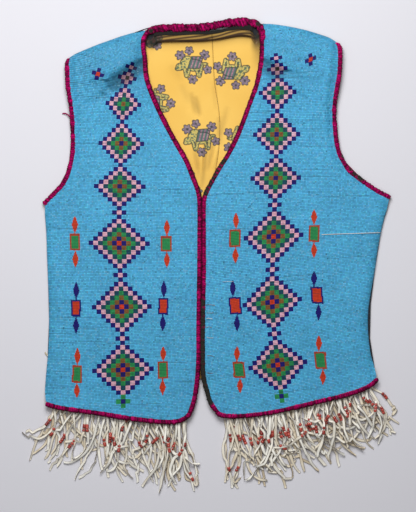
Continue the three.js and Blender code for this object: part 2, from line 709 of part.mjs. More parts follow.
// Every third root lies at the same level of the strip. The lowest level is laid first.
function layThongs(line, thongs) {
  const levels = 3;
  const laid = [];
  const strands = [];
  for (let level = 0; level < levels; level += 1) {
    const rootZ = strandFloor + strandThickness / 2 + level * (strandThickness + strandClearance);
    for (let index = level; index < thongs.count; index += levels) {
      const jitter = 0.3 * (chance(index, thongs.salt + 4) - 0.5);
      const root = pointAlong(line, (index + 0.5 + jitter) / thongs.count);
      const strand = layThong(root, rootZ, thongs, index, laid);
      strand.plan.forEach((point, i) => {
        laid.push({ x: point.x, y: point.y, z: heightAt(strand.heights, i) });
      });
      strands.push(strand);
    }
  }
  return strands;
}

function thongBody({ plan, heights }) {
  const centres = heights.map((z, i) => {
    const point = plan[i * samplesPerStep];
    return new THREE.Vector3(point.x, point.y, z);
  });
  const stations = centres.map((centre, i) => {
    const tangent = centres[Math.min(i + 1, strandSteps)].clone().sub(centres[Math.max(i - 1, 0)]);
    const across = new THREE.Vector3(-tangent.y, tangent.x, 0).normalize();
    return { centre, across, up: new THREE.Vector3(0, 0, 1), width: strandWidth, height: strandThickness };
  });
  return sweptBody(stations, flatSection);
}

function manifoldOf({ positions, triangles }) {
  return new wasm.Manifold(new wasm.Mesh({
    numProp: 3,
    vertProperties: new Float32Array(positions),
    triVerts: new Uint32Array(triangles),
  }));
}

// One hem's fringe: thongs whose roots are fused into a narrow strip under the front's hem.
function fringeBody(parts, thongs) {
  const hem = parts.grid[0].points.filter((_, j, all) => j >= 4 && j < all.length - 1);
  const ordered = [...hem].sort((a, b) => a.x - b.x);
  const line = ordered.map((p) => new THREE.Vector2(p.x, p.y + stripInset + stripDepth / 2));
  const stripCentre = (strandFloor + stripTop) / 2;
  const stations = line.map((point, i) => {
    const tangent = line[Math.min(i + 1, line.length - 1)].clone().sub(line[Math.max(i - 1, 0)]).normalize();
    return {
      centre: new THREE.Vector3(point.x, point.y, stripCentre),
      across: new THREE.Vector3(-tangent.y, tangent.x, 0),
      up: new THREE.Vector3(0, 0, 1),
      width: stripDepth,
      height: stripTop - strandFloor,
    };
  });
  let body = manifoldOf(sweptBody(stations, flatSection));
  layThongs(line, thongs).forEach((strand) => {
    body = body.add(manifoldOf(thongBody(strand)));
  });
  const { vertProperties, triVerts } = body.getMesh();
  return { positions: Array.from(vertProperties), triangles: Array.from(triVerts) };
}

const looks = {
  cloth: { color: 0x23262b, roughness: 0.95, metalness: 0 },
  lining: { color: 0xf0c25c, roughness: 0.85, metalness: 0 },
  facing: { color: 0x2c3a32, roughness: 0.9, metalness: 0 },
  beads: { color: 0x4fa3cf, roughness: 0.35, metalness: 0 },
  binding: { color: 0xb0145f, roughness: 0.8, metalness: 0 },
  thong: { color: 0xddd3bd, roughness: 0.75, metalness: 0 },
};

function build() {
  const leftFront = frontParts(left);
  const rightFront = frontParts(right);
  const back = backPanel();
  const leftLining = liningHalf('left');
  const rightLining = liningHalf('right');
  const frontBody = (parts) => wallBody(parts.grid.map(({ points }) => points), parts.inner);
  const binding = (places) => sweptBody(
    bindingStations(places, bindingWidth, bindingHeight, seamGap), roundSection);
  const backBinding = (side) => sweptBody(
    bindingStations(backArmholePlaces(back, side), bindingWidth, backWall, 0), roundSection);
  const pieces = [
    ['back_panel', back, looks.cloth],
    ['back_lining_left', leftLining, looks.lining],
    ['back_lining_right', rightLining, looks.lining],
    ['neck_facing', facingBody(leftLining, rightLining), looks.facing],
    ['front_left', frontBody(leftFront), looks.beads],
    ['front_right', frontBody(rightFront), looks.beads],
    ['neck_binding_back', neckBindingBody(back), looks.binding],
    ['edge_binding_left', binding(edgePlaces(leftFront)), looks.binding],
    ['edge_binding_right', binding(edgePlaces(rightFront)), looks.binding],
    ['armhole_binding_left', binding(armholePlaces(leftFront)), looks.binding],
    ['armhole_binding_right', binding(armholePlaces(rightFront)), looks.binding],
    ['back_armhole_binding_left', backBinding('left'), looks.binding],
    ['back_armhole_binding_right', backBinding('right'), looks.binding],
    ['fringe_left', fringeBody(leftFront, leftThongs), looks.thong],
    ['fringe_right', fringeBody(rightFront, rightThongs), looks.thong],
  ];
  const vest = new THREE.Group();
  pieces.forEach(([name, body, look]) => {
    vest.add(meshOf(name, body.positions, body.triangles, look));
  });
  const box = new THREE.Box3().setFromObject(vest);
  const middle = box.getCenter(new THREE.Vector3());
  vest.position.set(-middle.x, -middle.y, 0);
  vest.updateMatrixWorld(true);
  return vest;
}

const group = build();

export default group;
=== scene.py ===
import bpy
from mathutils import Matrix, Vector
import math
import numpy as np


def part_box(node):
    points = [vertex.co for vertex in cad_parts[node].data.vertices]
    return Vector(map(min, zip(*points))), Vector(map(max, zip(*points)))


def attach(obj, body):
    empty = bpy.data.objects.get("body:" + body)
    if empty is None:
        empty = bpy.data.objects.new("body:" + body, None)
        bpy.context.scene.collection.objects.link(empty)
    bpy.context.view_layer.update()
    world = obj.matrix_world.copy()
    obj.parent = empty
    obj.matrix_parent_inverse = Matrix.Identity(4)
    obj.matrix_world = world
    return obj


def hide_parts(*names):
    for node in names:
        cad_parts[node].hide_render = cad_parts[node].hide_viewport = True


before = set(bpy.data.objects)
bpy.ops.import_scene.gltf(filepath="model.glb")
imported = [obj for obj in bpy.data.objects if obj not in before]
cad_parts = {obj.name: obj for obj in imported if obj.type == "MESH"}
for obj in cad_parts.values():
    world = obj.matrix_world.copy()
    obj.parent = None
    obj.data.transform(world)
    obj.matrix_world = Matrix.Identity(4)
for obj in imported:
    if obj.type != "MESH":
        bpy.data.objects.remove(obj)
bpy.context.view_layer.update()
random = np.random.default_rng(7)
print("frame loaded")

# Everything below is worked out in mm on the vest's own plane, and moved to the frame in metres at the end.
# Places read in the photograph are pixels: one pixel is 1.38 mm, counted from (212, 254).
photo = {"mm": 1.38, "zeroX": 212.0, "zeroY": 254.0, "middleX": 208.0, "middleY": 256.0, "height": 512}


def table(names, *rows):
    # a short table with named columns
    return dict(zip(names.split(), np.array(rows, float).T))


creaseColumns = "x0 y0 x1 y1 depth half soft"
threadColumns = "x0 y0 x1 y1 x2 y2 width"
figureColumns = "topX top boxLeft boxTop boxRight boxBottom lowX low dark"


def fromPhoto(x, y):
    # photo pixels to mm of the plane, y turned upwards
    return (np.asarray(x) - photo["zeroX"]) * photo["mm"], (photo["zeroY"] - np.asarray(y)) * photo["mm"]


def toPhoto(x, y):
    # mm of the plane back to photo pixels
    return np.asarray(x) / photo["mm"] + photo["zeroX"], photo["zeroY"] - np.asarray(y) / photo["mm"]


def lerp(a, b, t):
    # from a at t = 0 to b at t = 1: a + (b - a) t
    return a + (b - a) * t


def smooth(t):
    # 0 to 1 with flat ends: 3 t^2 - 2 t^3
    t = np.clip(t, 0, 1)
    return t * t * (3 - 2 * t)


def curveThrough(rows, key, value):
    # a cubic between neighbouring rows, each slope taken from the rows on both sides of it
    order = np.argsort(rows[key])
    x, y = rows[key][order], rows[value][order]
    index = np.arange(len(x))
    before, after = np.maximum(index - 1, 0), np.minimum(index + 1, len(x) - 1)
    slope = (y[after] - y[before]) / (x[after] - x[before])

    def at(place):
        place = np.clip(place, x[0], x[-1])
        i = np.clip(np.searchsorted(x, place, side="right") - 1, 0, len(x) - 2)
        span = x[i + 1] - x[i]
        t = (place - x[i]) / span
        return (y[i] * (2 * t**3 - 3 * t**2 + 1) + slope[i] * span * (t**3 - 2 * t**2 + t)
                + y[i + 1] * (3 * t**2 - 2 * t**3) + slope[i + 1] * span * (t**3 - t**2))

    return at


def between(values, index):
    # values read at fractional places, on a smooth curve through them
    return curveThrough({"k": np.arange(len(values)), "v": values}, "k", "v")(index)


def unit(vectors):
    # each direction with the length 1: v / |v|
    return vectors / np.linalg.norm(vectors, axis=-1, keepdims=True)


def leftward(tangent):
    # level direction to the left of a path: (-ty, tx, 0) / |(tx, ty)|
    return unit(np.stack([-tangent[:, 1], tangent[:, 0], np.zeros(len(tangent))], axis=1))


def wander(rng, place, size, knots):
    # a random line: straight between evenly spaced knots, each drawn with the given size
    return np.interp(place, np.linspace(place[0], place[-1], knots), rng.normal(0, size, knots))


# The vest's own form, the same numbers as its solids have
form = {
    "seamGap": 0.3, "rimZ": 2.8, "frontWall": 2.8, "bodyZ": 10, "troughZ": 6.0, "armholeEdgeZ": 7, "hemCornerZ": 10,
    "openEdgeZ": 8.8, "shoulderRise": 7, "shoulderEdgeRise": 5, "hemRise": 1.5, "sideRoll": 12,
    "shoulderRoll": 24, "edgeRoll": 10, "rimTurn": 26, "puffFrom": 130, "puffTo": 35,
    "edgeShapeFrom": 12, "edgeShapeOver": 110, "vBottomY": 78, "liningBase": 2.8, "liningWall": 1,
    "backInset": 1.5, "liningInset": 9,
}

leftFront = {
    "inner": table("y x", [309.1, -91.1], [298, -97.3], [284, -98], [270, -95.9], [254, -95.2],
                   [240, -93.1], [218, -85.6], [196, -75.9], [174, -64.9], [150, -51.7], [127, -38.6],
                   [105, -29.7], [86, -22.5], [70, -20.4], [20, -20.4], [-22, -20.6], [-63, -21.2],
                   [-105, -21.8], [-139, -21.8], [-163, -22.8], [-182, -24.8], [-201, -28], [-219.4, -33.8]),
    "side": table("y x", [67.6, -230.5], [50, -230.5], [30, -229.1], [-11, -227.7], [-58, -225.9],
                  [-94, -225.2], [-132, -226.3], [-163, -229], [-188, -230.6], [-203.5, -229.1]),
    "armhole": table("y x", [67.6, -230.5], [73, -225], [83, -215.2], [94, -204.9], [105, -198.7],
                     [115, -195.3], [126, -192.4], [138, -190.4], [155, -189.6], [171, -190],
                     [190, -190.9], [210, -193], [221, -195], [235, -196.7], [254, -197.5],
                     [270.5, -198.4]),
    "top": table("x y", [-198.4, 270.5], [-190, 276], [-174, 283], [-157, 289.9], [-141, 295.6],
                 [-124, 301.5], [-108, 306], [-91.1, 309.1]),
    "hem": table("x y", [-229.1, -203.5], [-210, -208.8], [-189, -211.9], [-166, -215.2], [-145, -218.2],
                 [-127, -221.3], [-108, -224.1], [-86, -226.6], [-65, -228.4], [-50, -227.8],
                 [-40, -224.4], [-33.8, -219.4]),
    "troughs": table(creaseColumns, [-84, 270, -134, 240, 11, 7.0, 2.2]),
    "ripples": table(creaseColumns, [-165, 238, -150, 226, 1.3, 2.4, 1.5],
                     [-160, 228, -145, 216, 1.3, 2.4, 1.5], [-150, 221, -134, 212, 1.2, 2.2, 1.5],
                     [-136, 234, -172, 208, 1.2, 3, 2], [-146, 222, -170, 202, 0.9, 2.5, 2],
                     [-112, 250, -134, 232, 1.6, 3.5, 2], [-156, 240, -178, 222, 0.8, 3, 2],
                     [-215, 20, -190, -30, 0.6, 9, 1], [-70, -10, -45, -60, 0.6, 10, 1],
                     [-180, -150, -120, -165, 0.5, 9, 1], [-60, 40, -30, 10, 0.4, 8, 1]),
}
rightFront = {
    "inner": table("y x", [317.4, 66.2], [304, 71], [287, 71.8], [268, 71.1], [246, 67.6], [229, 63.5],
                   [218, 59.3], [196, 51.1], [174, 43], [160, 37.3], [138, 26.2], [116, 12.4], [94, 0],
                   [80, -6.6], [69, -8.4], [19, -8.3], [-22, -8.4], [-63, -9.1], [-105, -9.7],
                   [-139, -9.7], [-167, -9], [-181, -6.2], [-190, -3.4], [-203, 0.4], [-219.4, 11.7]),
    "side": table("y x", [75.9, 244.3], [61, 241.5], [44, 236.7], [28, 233.2], [5, 229], [-17, 226],
                  [-39, 222.2], [-61, 218.3], [-83, 215.8], [-110, 216], [-138, 219.4], [-155, 224],
                  [-169.7, 227]),
    "armhole": table("y x", [75.9, 244.3], [84, 227.7], [99, 205.6], [114, 187], [128, 178], [141, 172],
                     [157, 168.8], [174, 167], [196, 165.8], [212, 166.9], [229, 169.7], [251, 173],
                     [279, 173.9], [292.6, 172.5]),
    "top": table("x y", [66.2, 317.4], [80, 318], [97, 316], [113, 313.2], [130, 309.4], [146, 304.6],
                 [163, 298.6], [172.5, 292.6]),
    "hem": table("x y", [11.7, -219.4], [27, -220.9], [43, -220.3], [58, -218.8], [75, -216.6],
                 [91, -213.8], [108, -210], [124, -206.4], [139, -202.5], [155, -198.8], [171, -195],
                 [188, -190.3], [204, -184.8], [217, -178.6], [227, -169.7]),
    "troughs": table(creaseColumns, [64, 269, 92, 253, 9, 5.6, 2.4]),
    "ripples": table(creaseColumns, [107, 245, 130, 240, 1.4, 2.4, 1.5],
                     [98, 254, 117, 248, 1.3, 2.2, 1.5], [88, 294, 124, 285, 0.8, 4, 1.5],
                     [90, 281, 121, 268, 0.9, 4, 1.5], [72, 252, 96, 240, 1.4, 3, 2], [100, 228, 126, 216, 1.2, 3, 2],
                     [74, 240, 92, 228, 0.8, 2.5, 2], [205, 10, 180, -40, 0.6, 9, 1], [30, -20, 60, -70, 0.6, 10, 1],
                     [110, -150, 160, -140, 0.5, 9, 1], [120, 60, 170, 40, 0.4, 9, 1]),
}
neckEdge = table("x y", [-84.8, 304.6], [-72, 305.9], [-44, 306.6], [-17, 307], [-3, 308], [11, 309.6],
                 [25, 312.4], [39, 314.2], [52, 313], [59.6, 310.5])
backHem = table("x y", [-228, -198], [-140, -188], [-14, -172], [120, -166], [225, -164])
liningSeam = table("y x", [307, -2], [270, 0.5], [222, 3.6], [184, 10.5], [150, 10], [120, 6], [85, -3],
                   [30, -6], [-185, -8])


def prepareFront(front):
    # curves of a front's edges and the lengths of its lower and upper part
    for name, key, value in (("inner", "y", "x"), ("side", "y", "x"), ("armhole", "y", "x"),
                             ("top", "x", "y"), ("hem", "x", "y")):
        front[name + "Curve"] = curveThrough(front[name], key, value)
    front["hemInner"], front["topInner"] = front["inner"]["y"].min(), front["inner"]["y"].max()
    front["hemOuter"], front["underarm"] = front["side"]["y"].min(), front["side"]["y"].max()
    front["low"] = front["underarm"] - front["hemOuter"]
    front["high"] = front["armhole"]["y"].max() - front["underarm"]
    front["length"] = front["low"] + front["high"]
    return front


def frontRow(front, s):
    # a row of a front: s runs from 0 at the hem up the side to the underarm and on to the shoulder
    fromTop = front["length"] - s
    highInner = front["topInner"] - form["vBottomY"]
    spread = smooth((fromTop - form["shoulderRoll"]) / (front["high"] - form["shoulderRoll"]))
    inHigh = front["topInner"] - lerp(fromTop, fromTop / front["high"] * highInner, spread)
    inLow = lerp(front["hemInner"], form["vBottomY"], np.clip(s / front["low"], 0, 1))
    onArmhole = s > front["low"]
    inner = np.where(onArmhole, inHigh, inLow)
    outer = front["hemOuter"] + s
    return {
        "inner": inner, "outer": outer, "fromTop": fromTop, "fromHem": s,
        "fromUnderarm": np.abs(front["low"] - s), "onArmhole": onArmhole,
        "x0": np.where(onArmhole, front["armholeCurve"](outer), front["sideCurve"](outer)),
        "x1": front["innerCurve"](inner),
    }


def edgeShare(distance):
    # how much a row still follows the hem or the top at a distance from it, 1 to 0
    return 1 - smooth((distance - form["edgeShapeFrom"]) / form["edgeShapeOver"])


def rowHeight(front, s, x):
    # y of the row s at x: a chord between its ends, bent like the hem near the hem and like the top near the top
    row = frontRow(front, s)
    t = np.clip((x - row["x0"]) / (row["x1"] - row["x0"]), 0, 1)
    bottom, top = frontRow(front, np.zeros(1)), frontRow(front, np.array([front["length"]]))
    hemShape = front["hemCurve"](lerp(bottom["x0"], bottom["x1"], t)) - lerp(bottom["outer"], bottom["inner"], t)
    topShape = front["topCurve"](lerp(top["x0"], top["x1"], t)) - lerp(top["outer"], top["inner"], t)
    y = lerp(row["outer"], row["inner"], t)
    y = y + hemShape * edgeShare(row["fromHem"]) + topShape * edgeShare(row["fromTop"])
    return y, t, row


def creases(rows, x, y, wider=0.0, taper=0.0):
    # each row is a line with a depth, which falls off sideways as exp(-(distance / half)^2), slower on its lower side
    soft = rows.get("soft", np.ones(len(rows["x0"])))
    rows = {name: rows[name] for name in ("x0", "y0", "x1", "y1", "depth", "half")}
    total = np.zeros(np.shape(x))
    for (x0, y0, x1, y1, depth, half), share in zip(zip(*rows.values()), soft):
        dx, dy = x1 - x0, y1 - y0
        t = np.clip(((x - x0) * dx + (y - y0) * dy) / (dx * dx + dy * dy), 0, 1)
        below = (y - y0 - t * dy) < 0
        distance = np.hypot(x - x0 - t * dx, y - y0 - t * dy) / np.where(below, share, 1)
        total += depth * (4 * t * (1 - t) + 1e-6) ** taper * np.exp(-((distance / (half + wider)) ** 2))
    return total


def frontHeight(front, row, x, y, t):
    # z of a front: a crown that rolls down to the side seam, droops at the open edge and puffs at the shoulder
    width = np.abs(row["x1"] - row["x0"])
    fromOuter, fromInner = t * width, (1 - t) * width
    puff = smooth((form["puffFrom"] - row["fromTop"]) / (form["puffFrom"] - form["puffTo"]))
    upright = smooth(row["fromHem"] / form["rimTurn"]) * smooth(row["fromUnderarm"] / form["rimTurn"])
    upright = np.where(row["onArmhole"], 0, upright)
    q = np.clip(fromOuter / form["sideRoll"], 0, 1)
    roll = lerp(smooth(q), np.sqrt(1 - (1 - q) ** 2), upright)
    hemPart = lerp(form["hemCornerZ"], form["rimZ"], smooth(row["fromHem"] / form["rimTurn"]))
    underarmPart = lerp(form["armholeEdgeZ"], form["rimZ"], smooth(row["fromUnderarm"] / form["rimTurn"]))
    edgeZ = np.where(row["onArmhole"], form["armholeEdgeZ"] + form["shoulderEdgeRise"] * puff,
                     np.maximum(hemPart, underarmPart))
    crown = form["bodyZ"] + form["shoulderRise"] * puff
    deepest = crown - form["troughZ"]
    crown = crown - deepest * np.tanh(creases(front["troughs"], x, y) / deepest)
    z = lerp(edgeZ, crown, roll)
    openEdge = form["openEdgeZ"] + form["shoulderEdgeRise"] * puff
    droop = np.sin(np.clip(fromInner / form["edgeRoll"], 0, 1) * np.pi / 2)
    z = lerp(np.minimum(openEdge, z), z, droop)
    z = z + form["hemRise"] * (1 - smooth(row["fromHem"] / form["rimTurn"])) * q
    down = np.clip(row["fromTop"] / form["shoulderRoll"], 0, 1)
    return form["rimZ"] + (z - form["rimZ"]) * np.sqrt(1 - (1 - down) ** 2)


def rowOfPlace(front, x, y):
    # which row a place lies on, by halving: a row's y grows with s
    low, high = np.zeros(np.shape(x)), np.full(np.shape(x), front["length"])
    for _ in range(20):
        middle = (low + high) / 2
        under = rowHeight(front, middle, x)[0] < y
        low, high = np.where(under, middle, low), np.where(under, high, middle)
    return (low + high) / 2


leftFront, rightFront = prepareFront(leftFront), prepareFront(rightFront)


def findShift():
    # how the frame lies to the vest's own plane, from the box of the left front: its middle in x and its top in y
    row = frontRow(leftFront, np.linspace(0, leftFront["length"], 400))
    low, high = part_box("front_left")
    left, right = leftFront["side"]["x"].min(), row["x1"].max()
    top = leftFront["top"]["y"].max()
    return np.array([(low[0] + high[0]) * 500 - (left + right) / 2, high[1] * 1000 - top, 0.0])


shift = findShift()
print("shift", shift.round(2))


# camera: straight above the photograph's middle, far enough to see the fronts without perspective
cameraLook = {"distance": 3.4, "planeZ": 0.008}
cameraData = bpy.data.cameras.new("camera")
cameraData.sensor_width = 36
cameraData.lens = 36 * cameraLook["distance"] / (photo["height"] * photo["mm"] / 1000)
camera = bpy.data.objects.new("camera", cameraData)
bpy.context.collection.objects.link(camera)
middleX, middleY = fromPhoto(photo["middleX"], photo["middleY"])
camera.location = ((middleX + shift[0]) / 1000, (middleY + shift[1]) / 1000,
                   cameraLook["distance"] + cameraLook["planeZ"])
camera.rotation_euler = (0, 0, 0)
bpy.context.scene.camera = camera
bpy.context.scene.view_settings.view_transform = "Standard"


# Shader maths: a Wire is one socket, and sums of wires add Math nodes
class Wire:
    def __init__(self, finish, end):
        self.finish, self.end = finish, end

    def maths(self, operation, *values):
        return self.finish.node("Math", {"operation": operation}, dict(enumerate(values)))

    def __add__(self, other):
        return self.maths("ADD", self, other)

    def __radd__(self, other):
        return self.maths("ADD", other, self)

    def __sub__(self, other):
        return self.maths("SUBTRACT", self, other)

    def __rsub__(self, other):
        return self.maths("SUBTRACT", other, self)

    def __mul__(self, other):
        return self.maths("MULTIPLY", self, other)

    def __rmul__(self, other):
        return self.maths("MULTIPLY", other, self)

    def __truediv__(self, other):
        return self.maths("DIVIDE", self, other)

    def __pow__(self, other):
        return self.maths("POWER", self, other)

    def root(self):
        return self.maths("SQRT", self)

    def size(self):
        return self.maths("ABSOLUTE", self)

    def least(self, other):
        return self.maths("MINIMUM", self, other)

    def most(self, other):
        return self.maths("MAXIMUM", self, other)

    def under(self, edge, blur):
        # 1 below the edge and 0 above it, with a soft step of the blur's width
        return self.finish.node("MapRange", {"interpolation_type": "SMOOTHSTEP"},
                                {"Value": self, "From Min": edge - blur, "From Max": edge + blur,
                                 "To Min": 1.0, "To Max": 0.0})


class Finish:
    # one material with its Principled shader: node() adds any other node, its settings first, then its sockets
    def __init__(self, name, **plain):
        self.material = bpy.data.materials.new(name)
        self.material.use_nodes = True
        self.tree = self.material.node_tree
        self.shader = self.tree.nodes["Principled BSDF"]
        for socket, value in plain.items():
            self.shader.inputs[socket.replace("_", " ")].default_value = value

    def node(self, kind, settings=None, sockets=None, out=0):
        made = self.tree.nodes.new("ShaderNode" + kind)
        for name, value in (settings or {}).items():
            if name == "stops":
                self.rampStops(made.color_ramp, value)
            else:
                setattr(made, name, value)
        for name, value in (sockets or {}).items():
            socket = made.inputs[name]
            if isinstance(value, Wire):
                self.tree.links.new(value.end, socket)
            else:
                socket.default_value = value
        return Wire(self, made.outputs[out])

    def rampStops(self, ramp, stops):
        while len(ramp.elements) < len(stops):
            ramp.elements.new(1)
        for element, (place, colour) in zip(ramp.elements, stops):
            element.position, element.color = place, (*colour, 1)

    def place(self):
        return self.node("TexCoord", out="Object")

    def attribute(self, name, out="Fac"):
        return self.node("Attribute", {"attribute_name": name}, out=out)

    def noise(self, scale, detail=2.0):
        return self.node("TexNoise", None, {"Vector": self.place(), "Scale": scale, "Detail": detail})

    def mix(self, share, first, second, blend="MIX"):
        first, second = (value if isinstance(value, Wire) else (*value, 1) for value in (first, second))
        return self.node("Mix", {"data_type": "RGBA", "blend_type": blend}, {0: share, 6: first, 7: second}, out=2)

    def ramp(self, value, *stops):
        return self.node("ValToRGB", {"stops": stops}, {"Fac": value})

    def feed(self, socket, value):
        self.tree.links.new(value.end, self.shader.inputs[socket])

    def bump(self, height, distance, strength=1.0):
        self.feed("Normal", self.node("Bump", None, {"Height": height, "Distance": distance,
                                                       "Strength": strength}))


def linear(red, green, blue):
    # screen colour 0 to 255 to the linear colour that shaders use
    c = np.array([red, green, blue]) / 255
    return tuple(float(v) for v in np.where(c < 0.04045, c / 12.92, ((c + 0.055) / 1.055) ** 2.4))


def makePiece(name, points, faces, finish, replaced=(), colours=None, values=None, uvs=None):
    # one mesh from arrays in mm: points (n, 3), faces (m, 4) or lists, colours per corner, values per vertex
    mesh = bpy.data.meshes.new(name)
    mesh.from_pydata((points + shift) / 1000, [], faces)
    for key, data in (colours or {}).items():
        attribute = mesh.attributes.new(key, "FLOAT_COLOR", "CORNER")
        rgba = np.concatenate([data, np.ones((len(data), 1))], axis=1)
        attribute.data.foreach_set("color", rgba.astype(np.float32).ravel())
    for key, data in (values or {}).items():
        mesh.attributes.new(key, "FLOAT", "POINT").data.foreach_set("value", np.asarray(data, np.float32))
    for key, data in (uvs or {}).items():
        mesh.uv_layers.new(name=key).data.foreach_set("uv", np.asarray(data, np.float32).ravel())
    mesh.shade_smooth()
    mesh.materials.append(finish.material)
    piece = bpy.data.objects.new(name, mesh)
    bpy.context.collection.objects.link(piece)
    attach(piece, "root")
    if replaced:
        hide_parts(*replaced)
    return piece


def gridFaces(rows, columns, start=0, wrap=False):
    # quads of a grid of points, joined round across the columns if it wraps
    i, j = np.meshgrid(np.arange(rows - 1), np.arange(columns if wrap else columns - 1), indexing="ij")
    k = (j + 1) % columns
    return (start + np.stack([i * columns + j, i * columns + k, (i + 1) * columns + k, (i + 1) * columns + j],
                             axis=-1)).reshape(-1, 4)


def gridNormals(grid):
    # outward directions of a grid: along the rows crossed with up the columns
    normals = np.cross(np.gradient(grid, axis=1), np.gradient(grid, axis=0))
    normals /= np.linalg.norm(normals, axis=2, keepdims=True) + 1e-9
    return normals * np.where(normals[..., 2:3] < 0, -1, 1)


def facingOut(points, quads):
    # whether the quads of a closed shell look outwards: the sum of a . (b x c) + a . (c x d) is above 0
    a, b, c, d = (points[quads[:, n]] for n in range(4))
    return (np.einsum("ij,ij->i", a, np.cross(b, c)) + np.einsum("ij,ij->i", a, np.cross(c, d))).sum() > 0


def wallMesh(outer, inner):
    # closed wall between two grids, its faces outwards: outer side, inner side and the four rims
    rows, columns = outer.shape[:2]
    points = np.concatenate([outer.reshape(-1, 3), inner.reshape(-1, 3)])
    rim = np.concatenate([np.arange(columns), np.arange(2, rows) * columns - 1,
                          np.arange(rows * columns - 1, (rows - 1) * columns - 1, -1),
                          np.arange(rows - 2, 0, -1) * columns])
    nextRim, count = np.roll(rim, -1), rows * columns
    faces = np.concatenate([gridFaces(rows, columns), gridFaces(rows, columns, count)[:, ::-1],
                            np.stack([rim, rim + count, nextRim + count, nextRim], axis=1)])
    return points, faces if facingOut(points, faces) else faces[:, ::-1]


def tubeMesh(centres, across, up, halfAcross, halfUp):
    # a section carried along a path: centre + across * halfAcross * cos(a) + up * halfUp * sin(a), poles closed
    sides = halfAcross.shape[1]
    angle = np.arange(sides) / sides * 2 * np.pi
    ring = (centres[:, None] + across[:, None] * (halfAcross * np.cos(angle))[..., None]
            + up[:, None] * (halfUp * np.sin(angle))[..., None])
    rows = len(centres)
    points = np.concatenate([ring.reshape(-1, 3), centres[:1], centres[-1:]])
    quads = gridFaces(rows, sides, wrap=True)
    k = np.arange(sides)
    last, nextK = (rows - 1) * sides, (k + 1) % sides
    start = np.stack([np.full(sides, rows * sides), nextK, k], axis=1)
    end = np.stack([np.full(sides, rows * sides + 1), last + k, last + nextK], axis=1)
    if not facingOut(points, quads):
        quads, start, end = quads[:, ::-1], start[:, ::-1], end[:, ::-1]
    return points, quads.tolist() + start.tolist() + end.tolist()


# Beadwork: rows of round beads on a lattice that drifts and tilts as the cloth does
beadLook = {
    "beadsPerCell": 3, "dome": 0.36, "betweenBeads": -0.04, "betweenRows": -0.38, "jitter": 0.09,
    "wobble": 0.22, "shade": 0.12, "rowShade": 0.035, "gapRows": 0.035, "darkBeads": 0.008, "paleBeads": 0.06,
    # where and how far down the beads grow darker towards the top, and the crease depths that give full painted shade
    "darkerFrom": 118, "darkerOver": 62, "tint": 0.035, "troughShadeDepth": 10, "rippleShadeDepth": 6,
    "paleBlue": linear(170, 215, 235), "gapFrom": 0.72, "gapDepth": 0.22, "edgeOver": 3, "waves": 0.35, "margin": 6,
    "halfRows": (-108, 481), "halfColumns": (-170, 171),
}
beadColours = {
    "blue": linear(88, 190, 236), "navy": linear(18, 10, 116), "pink": linear(246, 186, 202),
    "teal": linear(14, 74, 96), "green": linear(40, 150, 84), "rust": linear(138, 92, 46),
    "red": linear(218, 62, 26), "brick": linear(188, 72, 44), "brown": linear(54, 50, 52),
}
colourNames = list(beadColours)
# the column of lozenges, the same on both fronts, in cells of three by three beads
# rings run from a lozenge's centre outwards: a smaller lozenge takes the last ones, the smallest has its own
lozengeColumn = {
    "rings": ["red", "navy", "rust", "green", "teal", "pink", "navy"], "smallRings": ["brown", "pink", "navy"],
    "lozenges": table("cell rings", [0, 6], [14, 6], [28, 6], [41, 5], [51, 5], [60, 4], [66, 2]),
    "links": (7, 21, 35, 69), "foot": -7,
}
# small crosses: half length and half width of an arm. Side figures: half width and power of the lozenges, half stem,
# where each lozenge is widest, and the box's outline, all in photo pixels
figureLook = {
    "arm": 6.1, "armHalf": 2.1, "lozengeHalf": 3.1, "power": 1.15, "stem": 0.5, "widestTop": 0.47, "widestLow": 0.53,
    "sideLine": 1.6, "endLine": 1.7,
}

leftBeads = {
    # how much darker the beads grow towards the top
    "darkening": 0.18,
    "lattice": table("cell x y tilt width", [-16, 123.4, 442.0, -3.0, 4.74], [0, 123.0, 369.8, -2.3, 4.74],
                     [14, 121.8, 306.9, -0.9, 4.6], [28, 119.2, 243.3, 0.9, 4.7], [41, 119.8, 186.4, 1.0, 4.7],
                     [51, 121.4, 143.5, 1.0, 4.15], [60, 123.5, 104.2, 3.0, 3.95], [66, 127.3, 77.8, 9.0, 3.8],
                     [70, 132.5, 64.0, 16.0, 3.8], [86, 146.0, 8.0, 10.0, 4.0]),
    "crosses": table("x y turnAcross turnUp", [98.2, 74.5, 19, 16]),
    "figures": table(figureColumns,
                     [74.9, 216.4, 69.8, 233.9, 80.3, 250.4, 75.5, 267.0, 0],
                     [76.3, 282.2, 71.1, 299.7, 80.9, 316.5, 76.1, 333.5, 1],
                     [77.5, 348.0, 72.1, 365.2, 82.2, 382.8, 76.9, 397.4, 0],
                     [166.9, 220.1, 160.9, 236.2, 171.9, 251.6, 166.9, 267.2, 0],
                     [163.8, 281.0, 158.3, 298.2, 168.3, 314.7, 162.8, 330.8, 1],
                     [163.2, 346.5, 157.6, 361.4, 168.0, 378.7, 162.6, 394.6, 0]),
}
